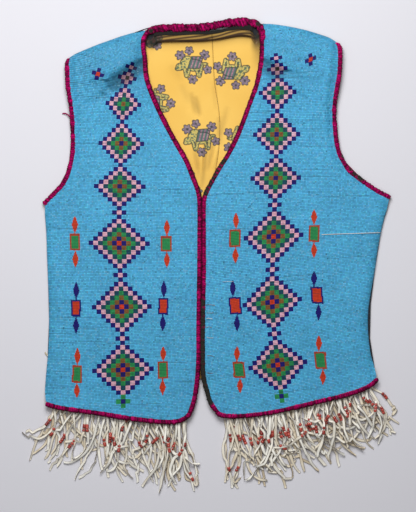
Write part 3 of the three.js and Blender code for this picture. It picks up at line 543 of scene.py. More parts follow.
rightBeads = {
    # how much darker the beads grow towards the top
    "darkening": 0.08,
    "lattice": table("cell x y tilt width", [-16, 286.6, 436.0, -8.0, 4.55], [0, 277.8, 364.9, -6.6, 4.55],
                     [14, 272.2, 302.1, -6.4, 4.6], [28, 273.5, 236.6, -3.6, 4.6], [41, 275.7, 178.1, -1.0, 4.6],
                     [51, 276.6, 134.5, -1.0, 4.3], [60, 277.5, 92.7, -2.0, 4.2], [66, 277.2, 69.1, -5.0, 4.1],
                     [69, 276.0, 58.5, -9.0, 4.1], [86, 270.0, 2.0, -8.0, 4.1]),
    "crosses": table("x y turnAcross turnUp", [310.3, 60, -23, -3]),
    "figures": table(figureColumns,
                     [236.0, 212.9, 229.4, 229.7, 240.7, 247.0, 235.4, 263.0, 0],
                     [232.8, 280.3, 229.1, 297.1, 241.3, 314.2, 237.0, 331.1, 1],
                     [237.0, 346.5, 233.1, 361.8, 244.8, 377.8, 240.0, 392.8, 0],
                     [314.0, 209.4, 308.8, 225.2, 319.5, 242.0, 313.9, 257.3, 0],
                     [314.0, 270.8, 311.0, 286.7, 322.8, 303.7, 318.5, 320.0, 1],
                     [318.8, 335.4, 314.8, 351.7, 326.4, 369.0, 322.8, 384.0, 0]),
}


def latticePlace(beads, column, row):
    # photo place of a lattice point: its row's middle, then along the row by the row's own tilt and bead width
    cell = row / beadLook["beadsPerCell"]
    x, y, tilt, width = (curveThrough(beads["lattice"], "cell", name)(cell) for name in ("x", "y", "tilt", "width"))
    along, tilt = column * width / beadLook["beadsPerCell"], np.radians(tilt)
    return x + along * np.cos(tilt), y + along * np.sin(tilt)


def chartColours(column, row):
    # colour number of each bead: rings by cell distance |i| + |j| round each lozenge, each link and the foot
    chart, perCell = lozengeColumn, beadLook["beadsPerCell"]
    made = np.zeros(np.shape(column), int)
    i, line = (column + 1) // perCell, (row + 1) // perCell
    figures = [(cell, chart["rings"][-int(count) - 1:] if count > 2 else chart["smallRings"])
               for cell, count in zip(*chart["lozenges"].values())]
    figures += [(cell, ["pink", "navy"]) for cell in chart["links"]] + [(chart["foot"], ["navy", "green"])]
    for cell, colours in figures:
        distance = np.abs(i) + np.abs(line - cell)
        for ring, name in enumerate(colours):
            made[distance == ring] = colourNames.index(name)
    return made


def smallCross(made, x, y, cx, cy, turnAcross, turnUp):
    # a cross on two arms that need not be square: each place is read along the arms, |u| and |v| against their sizes
    a, b = math.radians(turnAcross), math.radians(turnUp)
    u = ((x - cx) * math.cos(b) + (y - cy) * math.sin(b)) / math.cos(a - b)
    v = ((y - cy) * math.cos(a) - (x - cx) * math.sin(a)) / math.cos(a - b)
    long, wide = np.maximum(np.abs(u), np.abs(v)), np.minimum(np.abs(u), np.abs(v))
    made[(long < figureLook["arm"]) & (wide < figureLook["armHalf"])] = colourNames.index("navy")
    made[long < figureLook["armHalf"]] = colourNames.index("red")
    return made


def sideFigure(made, x, y, topX, top, boxLeft, boxTop, boxRight, boxBottom, lowX, low, dark):
    # a lozenge, an outlined box and a lozenge: |dx / half width|^p + |dy / half height|^p < 1, with a stem
    look = figureLook
    names = ("navy", "navy", "red") if dark else ("red", "brick", "green")
    lozenge, outline, inside = (colourNames.index(name) for name in names)
    middle, halfBox = (boxLeft + boxRight) / 2, (boxRight - boxLeft) / 2
    for cx, start, end, widest in ((topX, top, boxTop, look["widestTop"]), (lowX, boxBottom, low, look["widestLow"])):
        cy, half = start + (end - start) * widest, (end - start) / 2
        shape = np.abs((x - cx) / look["lozengeHalf"]) ** look["power"] + np.abs((y - cy) / half) ** look["power"]
        stem = (np.abs(x - cx) < look["stem"]) & (y > start) & (y < end)
        made[(shape < 1) | stem] = lozenge
    lean = (lowX - topX) / (low - top)
    across = x - middle - lean * (y - (boxTop + boxBottom) / 2)
    inBox = (np.abs(across) < halfBox) & (y > boxTop) & (y < boxBottom)
    inCore = ((np.abs(across) < halfBox - look["sideLine"])
              & (y > boxTop + look["endLine"]) & (y < boxBottom - look["endLine"]))
    made[inBox] = outline
    made[inCore] = inside
    return made


def outlineOf(front):
    # the front's outline in the plane, as a closed line of close points
    s = np.linspace(0, front["length"], 700)
    row = frontRow(front, s)
    bottom, top = frontRow(front, np.zeros(1)), frontRow(front, np.array([front["length"]]))
    hemX, topX = np.linspace(bottom["x0"][0], bottom["x1"][0], 260), np.linspace(top["x0"][0], top["x1"][0], 160)
    hem = np.stack([hemX, front["hemCurve"](hemX)], axis=1)
    inner = np.stack([row["x1"], row["inner"]], axis=1)
    upper = np.stack([topX, front["topCurve"](topX)], axis=1)[::-1]
    outer = np.stack([row["x0"], row["outer"]], axis=1)[::-1]
    return np.concatenate([hem, inner, upper, outer])


def insideOutline(outline, x, y):
    # even-odd rule: how many of the outline's sides a ray to the right crosses
    crossings = np.zeros(len(x), int)
    ax, ay = outline.T
    bx, by = np.roll(outline, -1, axis=0).T
    for x0, y0, x1, y1 in zip(ax, ay, bx, by):
        if y0 != y1:
            between = (y0 > y) != (y1 > y)
            crossings += between & (x < (x1 - x0) * (y - y0) / (y1 - y0) + x0)
    return crossings % 2 == 1


def nearestOnOutline(outline, x, y):
    # each place's nearest point on the outline, side by side: a + t (b - a) with t the clipped foot of the place
    best = np.full(len(x), 1e9)
    found = np.stack([x, y], axis=1)
    for (ax, ay), (bx, by) in zip(outline, np.roll(outline, -1, axis=0)):
        dx, dy = bx - ax, by - ay
        t = np.clip(((x - ax) * dx + (y - ay) * dy) / (dx * dx + dy * dy + 1e-12), 0, 1)
        px, py = ax + t * dx, ay + t * dy
        distance = np.hypot(x - px, y - py)
        nearer = distance < best
        best = np.where(nearer, distance, best)
        found[nearer] = np.stack([px, py], axis=1)[nearer]
    return found


def beadLattice(front, beads, r, c):
    # the lattice's points and quads inside the outline: outer points of a quad that it cuts move onto it
    px, py = latticePlace(beads, c, r)
    wave = beadLook["wobble"] * (np.sin(c * 0.31 + r * 0.17) + np.sin(r * 0.73 - c * 0.11 + 1.7))
    x, y = fromPhoto(px, py)
    x, y = x.ravel(), (y + wave * 0.6).ravel()
    outline, margin = outlineOf(front), beadLook["margin"]
    near = ((y > front["hem"]["y"].min() - margin) & (y < front["topInner"] + margin)
            & (x > outline[:, 0].min() - margin) & (x < outline[:, 0].max() + margin))
    inside = np.zeros(len(x), bool)
    inside[near] = insideOutline(outline, x[near], y[near])
    faces = gridFaces(*r.shape)
    faces = faces[inside[faces].sum(axis=1) >= 2]
    used = np.unique(faces)
    outside = used[~inside[used]]
    x[outside], y[outside] = nearestOnOutline(outline, x[outside], y[outside]).T
    return x[used], y[used], faces, used, px.ravel()[faces].mean(axis=1), py.ravel()[faces].mean(axis=1)


def beadRelief(r, c):
    # peaks at bead middles, which are the whole numbers of r and c, low lines between rows, lower where a row gapes
    look = beadLook
    onRow, onColumn = r[:, :1] % 1 == 0, c[:1] % 1 == 0
    relief = np.where(onRow & onColumn, look["dome"], np.where(onRow, look["betweenBeads"], look["betweenRows"]))
    relief = relief + np.where(onRow & onColumn, random.normal(0, look["jitter"], r.shape), 0)
    gapRow = ~onRow & (random.random((len(r), 1)) < look["gapRows"] * 4)
    gapes = gapRow & (np.sin(c * 0.05 + random.random((len(r), 1)) * 40) > look["gapFrom"])
    return relief - np.where(gapes, look["gapDepth"], 0), gapes


def beadTones(front, beads, r, c, faces, faceX, faceY):
    # each quad's colour: its bead's own, with the bead's and the row's own shade at random, darker towards the top, and
    # painted shade in the troughs and ripples
    look = beadLook
    beadR, beadC = np.meshgrid(r[::2, 0] + 0.5, c[0, ::2] + 0.5, indexing="ij")
    x, y = latticePlace(beads, beadC, beadR)
    chart = chartColours(beadC, beadR)
    palette = np.array(list(beadColours.values()))
    shade = 1 + random.normal(0, look["shade"], beadR.shape) + random.normal(0, look["rowShade"], (len(beadR), 1))
    tint = 1 + random.normal(0, look["tint"], beadR.shape + (3,))
    colour = palette[chart] * shade[..., None] * tint
    mottle = 0.5 + 0.5 * np.sin(x * 0.09 + 1.2 * np.sin(y * 0.05)) * np.sin(y * 0.07 + 0.8 * np.sin(x * 0.06))
    colour *= (0.95 + 0.1 * mottle)[..., None]
    place = fromPhoto(x, y)
    # painted shade: the beads grow darker in the front's troughs and ripples
    grimeAndShade = (creases(front["troughs"], *place) / look["troughShadeDepth"]
             + creases(front["ripples"], *place) / look["rippleShadeDepth"])
    # darker towards the top, with the painted shade of the creases added to that
    darkening = beads["darkening"] * smooth((look["darkerFrom"] - y) / look["darkerOver"]) + 0.5 * smooth(grimeAndShade)
    colour *= (1 - darkening)[..., None]
    colour[(random.random(beadR.shape) < look["darkBeads"]) & (chart == 0)] *= 0.6
    pale = (random.random(beadR.shape) < look["paleBeads"]) & (chart == 0)
    colour[pale] = colour[pale] * 0.75 + 0.25 * np.array(look["paleBlue"])
    rowIndex, columnIndex = (faces // r.shape[1]).min(axis=1) // 2, (faces % r.shape[1]).min(axis=1) // 2
    bead = (np.minimum(rowIndex, len(beadR) - 1), np.minimum(columnIndex, beadR.shape[1] - 1))
    drawn = np.full(len(faces), -1)
    for figure in zip(*beads["figures"].values()):
        drawn = sideFigure(drawn, faceX, faceY, *figure)
    for cross in zip(*beads["crosses"].values()):
        drawn = smallCross(drawn, faceX, faceY, *cross)
    figured = palette[np.maximum(drawn, 0)] * (1 + 0.5 * (shade[..., None] * tint - 1))[bead]
    return np.clip(np.where(drawn[:, None] >= 0, figured, colour[bead]), 0, 1)


def beadSheet(name, front, beads, finish):
    # a skin of domed beads over a front, on lattice points at half beads: z of the front + relief - ripples
    look = beadLook
    r, c = np.meshgrid(np.arange(*look["halfRows"]) / 2 - 0.5, np.arange(*look["halfColumns"]) / 2 - 0.5, indexing="ij")
    x, y, faces, used, faceX, faceY = beadLattice(front, beads, r, c)
    s = rowOfPlace(front, x, y)
    _, t, row = rowHeight(front, s, x)
    relief, gapes = beadRelief(r, c)
    relief = relief.ravel()[used]
    edge = smooth(np.minimum(t, 1 - t) * np.abs(row["x1"] - row["x0"]) / look["edgeOver"])
    z = frontHeight(front, row, x, y, t) + relief * (0.35 + 0.65 * edge) - creases(front["ripples"], x, y) - 0.1
    z += look["waves"] * np.sin(x * 0.045 + 1.3) * np.sin(y * 0.037 + 0.4) * edge
    z = np.maximum(z, form["rimZ"] + 0.05)
    colour = beadTones(front, beads, r, c, faces, faceX, faceY)
    gape = np.where(gapes, 1.0, 0.0).ravel()[used]
    valley = np.clip((look["dome"] - relief) / (look["dome"] - look["betweenRows"]), 0, 1)
    return makePiece(name, np.stack([x, y, z], axis=1), np.searchsorted(used, faces), finish,
                     colours={"beadColour": np.repeat(colour, 4, axis=0)}, values={"valley": valley, "gape": gape})


def beadFinish():
    # glass: the bead's own colour, with painted shade between the beads and almost black painted shade in the gap over
    # the thread where a row gapes
    finish = Finish("glass_beads", Roughness=0.4, Specular_IOR_Level=0.22, IOR=1.45)
    own = finish.attribute("beadColour", "Color")
    valley, gape = finish.attribute("valley"), finish.attribute("gape")
    # painted shade: the bead's own colour darkened towards the valleys between beads
    dark = finish.mix(valley ** 1.6 * 0.7, own, finish.mix(1.0, own, (0.14, 0.18, 0.22), "MULTIPLY"))
    # painted shade: almost black in the gaps where a row gapes
    threads = finish.mix(gape * valley * 0.5, dark, (0.01, 0.03, 0.04))
    finish.feed("Base Color", threads)
    finish.feed("Roughness", valley * 0.3 + finish.noise(900.0, 1.0) * 0.2 + 0.28)
    finish.bump(finish.noise(1600.0, 2.0), 0.0002, 0.5)
    return finish


# Hide under the beads, as a closed wall
hideLook = {"rows": 150, "columns": 60, "shoulderRows": 12, "sink": 1.35, "rippleSink": 1.3, "rippleWider": 1.2,
            "troughSink": 0.2, "troughWider": 4}


def frontGrid(front, rows, columns):
    # grid over a front: rows closer where the shoulder rolls, columns closer where the side rolls
    s = front["length"] * np.linspace(0, 1, rows)
    rolled = form["shoulderRoll"] * (1 - np.cos(np.linspace(np.pi / 2, 0, hideLook["shoulderRows"])))
    s = np.concatenate([s[s < front["length"] - form["shoulderRoll"]], front["length"] - rolled])
    row = {name: value[:, None] for name, value in frontRow(front, s).items()}
    t = 0.5 - 0.5 * np.cos(np.linspace(0, np.pi, columns))
    x = lerp(row["x0"], row["x1"], t[None, :])
    y, t, row = rowHeight(front, s[:, None] + 0 * x, x)
    z = frontHeight(front, row, x, y, t)
    return np.stack([x, y, z], axis=2)


def hideWall(name, front, finish, node):
    # outer side just under the beads, lower still in the folds, inner side the wall's thickness below the front
    look = hideLook
    outer = frontGrid(front, look["rows"], look["columns"])
    normals = gridNormals(outer)
    inner = outer - normals * form["frontWall"]
    inner[..., 2] = np.maximum(inner[..., 2], form["rimZ"])
    outer = outer - normals * look["sink"]
    x, y, z = np.moveaxis(outer, -1, 0)
    sunk = (z - look["rippleSink"] * creases(front["ripples"], x, y, wider=look["rippleWider"])
            - look["troughSink"] * creases(front["troughs"], x, y, wider=look["troughWider"]))
    outer[..., 2] = np.maximum(sunk, form["rimZ"] + 0.02)
    inner[..., 2] = np.minimum(inner[..., 2], outer[..., 2] - 0.01)
    points, faces = wallMesh(outer, inner)
    return makePiece(name, points, faces, finish, replaced=(node,))


def hideFinish():
    finish = Finish("brain_tanned_hide", Roughness=0.9)
    finish.feed("Base Color", finish.ramp(finish.noise(60.0, 4.0), (0.3, linear(176, 158, 128)),
                                          (0.7, linear(214, 198, 168))))
    finish.bump(finish.noise(1400.0, 3.0), 0.0004, 0.6)
    return finish


# Bindings: wool wound round the edges, a twisted roll along a path
bindingLook = {
    "halfWidth": 3.4, "halfHeight": 2.9, "offset": 3.2, "step": 0.55, "sides": 14, "pitch": 3.6,
    # rim: from which cosine round the roll its far side takes painted shade
    "ridge": 0.62, "slack": 0.9, "lean": 0.9, "lump": 1.0, "rim": 0.5, "curl": 0, "curlOver": 10, "endRound": 2.6,
    "wander": (9, 2.6, 14), "width": (1, 1),
}


def evenPath(points, step, soften):
    # a line of points made even, then softened by a bell of the given length
    length = np.concatenate([[0], np.cumsum(np.linalg.norm(np.diff(points, axis=0), axis=1))])
    count = max(int(length[-1] / step), 8)
    even = np.stack([np.interp(np.linspace(0, length[-1], count), length, points[:, k]) for k in range(3)], axis=1)
    reach = int(soften / step * 2)
    if reach < 1:
        return even
    bell = np.exp(-0.5 * (np.arange(-reach, reach + 1) * step / soften) ** 2)
    bell /= bell.sum()
    padded = np.concatenate([2 * even[:1] - even[reach:0:-1], even, 2 * even[-1:] - even[-2:-reach - 2:-1]])
    return np.stack([np.convolve(padded[:, k], bell, "valid") for k in range(3)], axis=1)


def windingMesh(path, side, look, seed):
    # the roll lies beside its path; its radius swells in slanting ridges: 1 + ridge * wave(turns - lean * angle)
    rng = np.random.default_rng(seed)
    tangent = unit(np.gradient(path, axis=0))
    across = -side * leftward(tangent)
    up = np.cross(across, tangent)
    up *= np.where(up[:, 2:3] < 0, -1, 1)
    along = np.arange(len(path)) * look["step"]
    loose, fine, turned = (wander(rng, along, 1, max(int(along[-1] / length), 4)) for length in look["wander"])
    angle = np.arange(look["sides"]) / look["sides"] * 2 * np.pi
    turns = np.cumsum(look["step"] / look["pitch"] * np.exp(0.22 * loose + 0.16 * fine))
    phase = turns[:, None] * 2 * np.pi - (look["lean"] + 0.5 * turned)[:, None] * angle[None, :]
    wave = np.abs(np.sin(phase / 2)) ** 0.7
    loose, fine, along = loose[:, None], fine[:, None], along[:, None]
    lumps = look["lump"] * (0.04 * np.sin(2 * angle + 3 * loose) + 0.03 * np.sin(3 * angle - 4 * fine))
    width = np.interp(along / along[-1], np.linspace(0, 1, len(look["width"])), look["width"])
    swell = (1 + 0.065 * fine + lumps + look["ridge"] / look["halfWidth"] * (wave - 0.75)) * width
    offset = look["offset"] - look["curl"] * (1 - (along[-1] - along) / look["curlOver"]).clip(0) ** 1.6
    centres = path + across * offset + up * loose * look["slack"] * 0.12
    centres[:, 2] = np.maximum(centres[:, 2], form["seamGap"] + look["halfHeight"] * swell.max(axis=1))
    fromEnd = np.minimum(along, along[::-1]) / look["endRound"]
    swell = swell * np.sqrt(np.clip(1 - (1 - fromEnd).clip(0) ** 2, 0.02, 1))
    points, faces = tubeMesh(centres, across, up, look["halfWidth"] * swell, look["halfHeight"] * swell)
    # painted shade: dark in the creases between the wraps and on the roll's far side from its path, from rim outwards
    deep = np.clip(1 - wave - 4 * lumps, 0, 1)
    deep = np.maximum(deep, 0.9 * smooth((np.cos(angle) - look["rim"]) / 0.45))
    return points, faces, np.append(deep, [0.5, 0.5]), np.append(fine + 0 * wave, [0, 0])


def woolFinish():
    # magenta wool: painted shade in dark maroon in the creases and on one side of the roll, black where it is worn
    # through, short fibres
    finish = Finish("wound_wool", Roughness=0.9, Specular_IOR_Level=0.12)
    deep, worn, tint = finish.attribute("deep"), finish.attribute("worn"), finish.attribute("tint")
    fibre, blot = finish.noise(1100.0, 3.0), finish.noise(380.0, 2.0)
    wool = finish.ramp(fibre * 0.45 + tint * 0.07 + blot * 0.55, (0.37, linear(80, 0, 40)),
                       (0.48, linear(148, 0, 78)), (0.59, linear(190, 0, 98)), (0.74, linear(232, 26, 130)))
    # painted shade: dark maroon in the creases and on the roll's far side
    shadedWool = finish.mix(deep ** 0.9 * 0.85, wool, linear(46, 0, 22))
    olive = finish.ramp(fibre, (0.3, linear(22, 22, 24)), (0.75, linear(62, 62, 54)))
    finish.feed("Base Color", finish.mix(worn, shadedWool, olive))
    finish.bump(fibre, 0.0006, 0.8)
    return finish


wornPlaces = {
    "edge_binding_right": table("x y reach", [202, 303, 4], [201, 312, 5], [201, 322, 6], [202, 334, 7],
                                [202, 346, 7], [202, 358, 7], [203, 370, 7], [204, 380, 6], [206, 389, 5],
                                [208, 396, 5], [210, 401, 4], [224, 160.5, 2.4], [222.2, 163.2, 2], [220, 167, 1.8],
                                [217.6, 170.8, 1.7], [215.2, 174.5, 1.7], [213, 178.2, 1.7], [211, 181.8, 1.7],
                                [209.2, 185.4, 1.8], [207.4, 189, 1.9], [205, 193, 2.8]),
    "edge_binding_left": table("x y reach", [203, 193, 3.5], [201, 189, 2]),
    "armhole_binding_right": table("x y reach", [356, 172, 4], [361, 177, 4], [352, 168, 3], [343, 156, 2]),
    "armhole_binding_left": table("x y reach", [66, 94, 1.6]),
    "neck_binding_back": table("x y reach", [151, 31, 2.2], [258, 24, 2.5]),
}


def wornShare(name, points):
    # 1 within a worn place's reach and 0 outside, with a soft edge
    places = wornPlaces.get(name)
    if places is None:
        return np.zeros(len(points))
    x, y = toPhoto(points[:, 0], points[:, 1])
    share = np.zeros(len(points))
    for cx, cy, reach in zip(*places.values()):
        share = np.maximum(share, 1 - smooth((np.hypot(x - cx, y - cy) - reach * 0.7) / (reach * 0.6)))
    return share


def bindingPiece(name, path, side, look, finish, seed, soften=3.0, **own):
    look = dict(look, **own)
    points, faces, deep, tint = windingMesh(evenPath(path, look["step"], soften), side, look, seed)
    return makePiece(name + "_wool", points, faces, finish, replaced=(name,),
                     values={"deep": deep, "tint": tint, "worn": wornShare(name, points)})


def edgePath(front, s, t):
    # middle of the wall's edge along rows s at the share t of the row
    row = frontRow(front, s)
    x = lerp(row["x0"], row["x1"], t)
    y, t, row = rowHeight(front, s, x)
    z = frontHeight(front, row, x, y, t) - form["frontWall"] / 2
    return np.stack([x, y, z], axis=1)


def openEdgePath(front):
    # down the V and the centre front, round the corner and along the hem
    down = edgePath(front, np.linspace(front["length"], 0, 500), np.ones(500))
    along = edgePath(front, np.zeros(200), np.linspace(1, 0, 200))
    return np.concatenate([down, along[1:]])


def armholePath(front):
    return edgePath(front, np.linspace(front["low"] - 1, front["length"] - 0.9, 260), np.zeros(260))


# Back, lining and facing
backTop = curveThrough({"x": np.concatenate([leftFront["top"]["x"], neckEdge["x"], rightFront["top"]["x"]]),
                        "y": np.concatenate([leftFront["top"]["y"], neckEdge["y"], rightFront["top"]["y"]])}, "x", "y")
backHemCurve = curveThrough(backHem, "x", "y")
seamCurve = curveThrough(liningSeam, "y", "x")
liningLook = {
    "columns": 110, "nearNeck": 14.5, "neckEnds": (-84.6, 59.4), "neckRise": 7,
    "shortUnder": 9, "shortNeck": 0.6, "pucker": 0.35, "openingFrom": 95, "openingOver": 30, "seamDepth": 0.45,
    "seamHalf": 1.1, "crumple": 0.45, "ruck": 0.5, "taper": 0.8, "wall": 0.9,
}
neckFold = table("fromNeck lift", [0, 1.0], [3.6, 3.4], [6, 4.6], [9, 5.6], [11.6, 5.6], [12.7, 3.2], [13.4, 0.4],
                 [14.5, 0.05], [17, 0])
liningFolds = table("x0 y0 x1 y1 depth half", [-23, 218, -16, 188, 2.4, 3], [-29, 224, -22, 190, 1.8, 3],
                    [10, 190, 12, 146, 1.6, 4], [-24, 146, -17, 104, 2.2, 3], [-7, 158, -14, 90, 3.0, 3.2],
                    [3, 156, -6, 112, 2.4, 3], [8, 150, 0, 118, -1.6, 3], [-13, 150, -15, 104, -2.0, 2.6],
                    [-58, 262, -40, 236, 0.8, 6], [44, 262, 30, 226, 1.0, 6], [-34, 200, -18, 160, -0.9, 5],
                    [22, 204, 12, 160, 1.2, 4], [-44, 236, -30, 206, 0.8, 5], [2, 240, 6, 196, 0.9, 3])


def backEnds(v, nearNeck):
    # ends of the back's rows: v from 0 at the hem over 1 at the underarm to 2 at the neck fold, then up to the top
    fromNeck = nearNeck * (1 - np.clip(v - 2, 0, 1))

    def height(front, hemY):
        under, top = front["underarm"], front["armhole"]["y"].max()
        upper = lerp(under, top - nearNeck, np.clip(v - 1, 0, 1))
        return np.where(v > 2, top - fromNeck, np.where(v < 1, lerp(hemY, under, v), upper))

    leftY, rightY = height(leftFront, backHem["y"][0]), height(rightFront, backHem["y"][-1])
    onArmhole = v > 1
    leftX, rightX = (np.where(onArmhole, front["armholeCurve"](y) + inward, front["sideCurve"](y))
                     for front, y, inward in ((leftFront, leftY, form["backInset"]),
                                              (rightFront, rightY, -form["backInset"])))
    fromNeck = np.where(v >= 2, fromNeck, 99.0)
    return leftX, leftY, rightX, rightY, fromNeck


def liningGrid(side):
    # one half of the lining between its outer edge and the centre-back seam, lifted in a fold under the neck binding
    look = liningLook
    v = np.concatenate([np.linspace(0, 1, 24)[:-1], np.linspace(1, 2, 170)[:-1], np.linspace(2, 3, 64)])
    leftX, leftY, rightX, rightY, fromNeck = (a[:, None] for a in backEnds(v, look["nearNeck"] + 2.5))
    seamX = seamCurve((leftY + rightY) / 2)
    start, end = ((leftX + form["liningInset"], seamX - form["seamGap"] / 2) if side == "left"
                  else (seamX + form["seamGap"] / 2, rightX - form["liningInset"]))
    neckEnd = look["neckEnds"][0 if side == "left" else 1]
    rise = look["neckRise"] if side == "left" else -look["neckRise"]
    topX = np.linspace(start[-1, 0], end[-1, 0], look["columns"] - 2)
    topX = np.sort(np.concatenate([topX, [neckEnd, neckEnd + rise]]))
    place = (topX - start[-1, 0]) / (end[-1, 0] - start[-1, 0])
    x = lerp(start, end, place[None, :])
    t = np.clip((x - leftX) / (rightX - leftX), 0, 1)
    hemX, lastX = lerp(leftX[0], rightX[0], t), lerp(leftX[-1], rightX[-1], t)
    keys, order = np.array([neckEnd, neckEnd + rise]), slice(None, None, 1 if side == "left" else -1)
    short = np.interp(topX, keys[order], np.array([look["shortUnder"], look["shortNeck"]])[order])
    share = np.interp(topX, keys[order], np.array([0.0, 1.0])[order])
    hemShape = backHemCurve(hemX) - lerp(leftY[0], rightY[0], t)
    topShape = backTop(lastX) - short[None, :] - lerp(leftY[-1], rightY[-1], t)
    fromHem, fromTop = leftY - leftY[0, 0], leftY[-1, 0] - leftY
    y = lerp(leftY, rightY, t) + hemShape * edgeShare(fromHem) + topShape * edgeShare(fromTop)
    lift = curveThrough(neckFold, "fromNeck", "lift")(np.minimum(fromNeck, 17)) * (fromNeck < 90) * share[None, :]
    z = form["liningBase"] + form["liningWall"] + lift
    inOpening = smooth((y - look["openingFrom"]) / look["openingOver"])
    fromSeam = np.abs(x - seamX)
    z = z + 0.25 * inOpening * look["pucker"] * np.sin(y * 0.9) * np.exp(-fromSeam / 3.0)
    z = z - look["seamDepth"] * np.exp(-((fromSeam / look["seamHalf"]) ** 2)) * (lift < 0.2)
    z = z + 0.6 - creases(liningFolds, x, y, taper=look["taper"]) * inOpening - 0.6 * (1 - inOpening)
    crumple = np.sin(x * 0.21 + 1.9 * np.sin(x * 0.07) + fromNeck * 0.5) * smooth(lift / 3)
    ruck = np.sin(fromNeck * 1.25 + 0.09 * x + 1.4 * np.sin(x * 0.05)) * smooth(lift / 3)
    z = z + (look["crumple"] * crumple + look["ruck"] * ruck) * np.sin(np.clip(fromNeck, 0, 13) / 13 * np.pi)
    return np.stack([x, y, z + 0.02], axis=2)


# where the print's motifs show, in photo pixels, and the step of the further ones that the fronts hide
motifPlaces = table("x y turn", [192, 65.5, 0], [233, 70, 180], [200, 138.5, 5], [157, 104, 90], [243, 139, 170],
                    [148.6, 34.2, 35])
motifLook = {"size": 18, "step": 72.0, "hiddenX": (40, 400), "hiddenY": (190, 460), "turnStep": 40}


def motifFrames(x, y):
    # each place in the frame of the nearest motif, in units of the motif's size
    look = motifLook
    px, py = toPhoto(x, y)
    hiddenX, hiddenY = (a.ravel() for a in np.meshgrid(np.arange(*look["hiddenX"], look["step"]),
                                                       np.arange(*look["hiddenY"], look["step"])))
    hiddenTurn = look["turnStep"] * np.arange(len(hiddenX)) % 360
    centres = np.concatenate([np.stack(list(motifPlaces.values()), axis=1),
                              np.stack([hiddenX, hiddenY, hiddenTurn], axis=1)])
    best, u, v = np.full(px.shape, 1e9), np.zeros(px.shape), np.zeros(px.shape)
    for cx, cy, turn in centres:
        a = math.radians(turn)
        dx, dy = (px - cx) / look["size"], (cy - py) / look["size"]
        nearer = np.hypot(dx, dy) < best
        best = np.where(nearer, np.hypot(dx, dy), best)
        u = np.where(nearer, dx * math.cos(a) + dy * math.sin(a), u)
        v = np.where(nearer, dy * math.cos(a) - dx * math.sin(a), v)
    return u, v


def motifUv(points, faces):
    # every corner of a face uses the motif of the face's middle, so no face is torn between two motifs
    corner = points[faces]
    centre = corner.mean(axis=1)
    u, v = motifFrames(centre[:, 0], centre[:, 1])
    dx, dy = np.moveaxis(corner - centre[:, None], -1, 0)[:2] / photo["mm"] / motifLook["size"]
    turn = motifTurn(centre[:, 0], centre[:, 1])[:, None]
    return np.stack([u[:, None] + dx * np.cos(turn) + dy * np.sin(turn),
                     v[:, None] + dy * np.cos(turn) - dx * np.sin(turn)], axis=-1)


def liningStains(points):
    # how far the dark facing's stain and the painted shade cover the lining at each point, 0 to 1; the facing's dark
    # also paints shade into the right corner
    x, y = toPhoto(points[:, 0], points[:, 1])
    facing = (1 - smooth((x + (y - 34) * 0.5 - 160) / 7)) * (1 - smooth((y - 43) / 8)) * smooth((y - 24) / 4)
    # painted shade: the facing's dark laid on the lining's right corner beside the V binding
    facing = np.maximum(facing, 0.9 * smooth((x - 251 + 0.12 * (y - 30)) / 7) * (1 - smooth((y - 38) / 16)))
    facing = np.maximum(facing, smooth((x - 243) / 7) * (1 - smooth((y - 29) / 6)))
    below = y - toPhoto(points[:, 0], backTop(points[:, 0]))[1]
    # painted shade: a dark line along the fold under the neck binding, brown over the puff above it and fading below it
    fold = np.exp(-(((below - 9.2) / 1.0) ** 2)) * (0.45 + 0.55 * np.sin(x * 0.075 + 2.9) ** 2)
    puff = 0.84 * (0.84 + 0.22 * np.sin(x * 0.19 + below * 1.7))
    shadeShare = lerp(puff, 0.62 * np.exp(-np.maximum(below - 9.4, 0) / 2.8), smooth((below - 8.6) / 1.4))
    # painted shade in the folds' troughs, under the neck binding and in the right corner
    shadeShare = shadeShare + 0.14 * np.clip(creases(liningFolds, points[:, 0], points[:, 1], taper=liningLook["taper"]), 0, 3)
    shadeShare = shadeShare + 0.10 * (1 - smooth((below - 9) / 12)) + 0.5 * smooth((x - 249) / 10) * (1 - smooth((y - 46) / 30))
    return {"facing": facing, "soil": np.clip(fold * 0.85 + shadeShare, 0, 1)}


def liningPiece(name, side, finish, node):
    # one lining half as a closed wall, its print laid out on the UV map
    outer = liningGrid(side)
    inner = outer - np.array([0, 0, liningLook["wall"]])
    inner[..., 2] = np.maximum(inner[..., 2], form["liningBase"])
    points, faces = wallMesh(outer, inner)
    return makePiece(name, points, faces, finish, replaced=(node,),
                     values=liningStains(points), uvs={"motif": motifUv(points, faces).reshape(-1, 2)})


def motifTurn(x, y):
    # the turn of the nearest motif, worked out the same way as its frame
    u1, v1 = motifFrames(x, y)
    u2, v2 = motifFrames(x + 0.01, y)
    same = np.hypot(u2 - u1, v2 - v1) < 0.01
    return np.where(same, -np.arctan2(v2 - v1, u2 - u1), 0)


# the made-up print, in units of the motif's size: ellipses x y across up, legs x foot half lean, and flowers
# x y reach petals turn heart
printLook = {
    "blobs": [(0.10, 0.02, 0.54, 0.33), (-0.26, 0.18, 0.34, 0.36), (-0.66, -0.06, 0.23, 0.20),
              (-0.80, -0.16, 0.13, 0.11), (0.72, 0.10, 0.14, 0.08), (-0.58, 0.20, 0.07, 0.10)],
    "legs": [(0.50, -0.58, 0.09, 0.2), (0.26, -0.52, 0.08, -0.2), (-0.16, -0.54, 0.08, 0.2),
             (-0.40, -0.58, 0.09, -0.2)],
    "flowers": [(-0.66, 0.58, 0.27, 6.0, 0.0, 0.07), (-0.16, 0.84, 0.24, 5.0, 0.7, 0.06),
                (0.70, 0.60, 0.27, 6.0, 1.0, 0.07), (0.86, -0.22, 0.24, 5.0, 2.0, 0.06),
                (0.04, -0.76, 0.26, 6.0, 0.5, 0.07)],
}


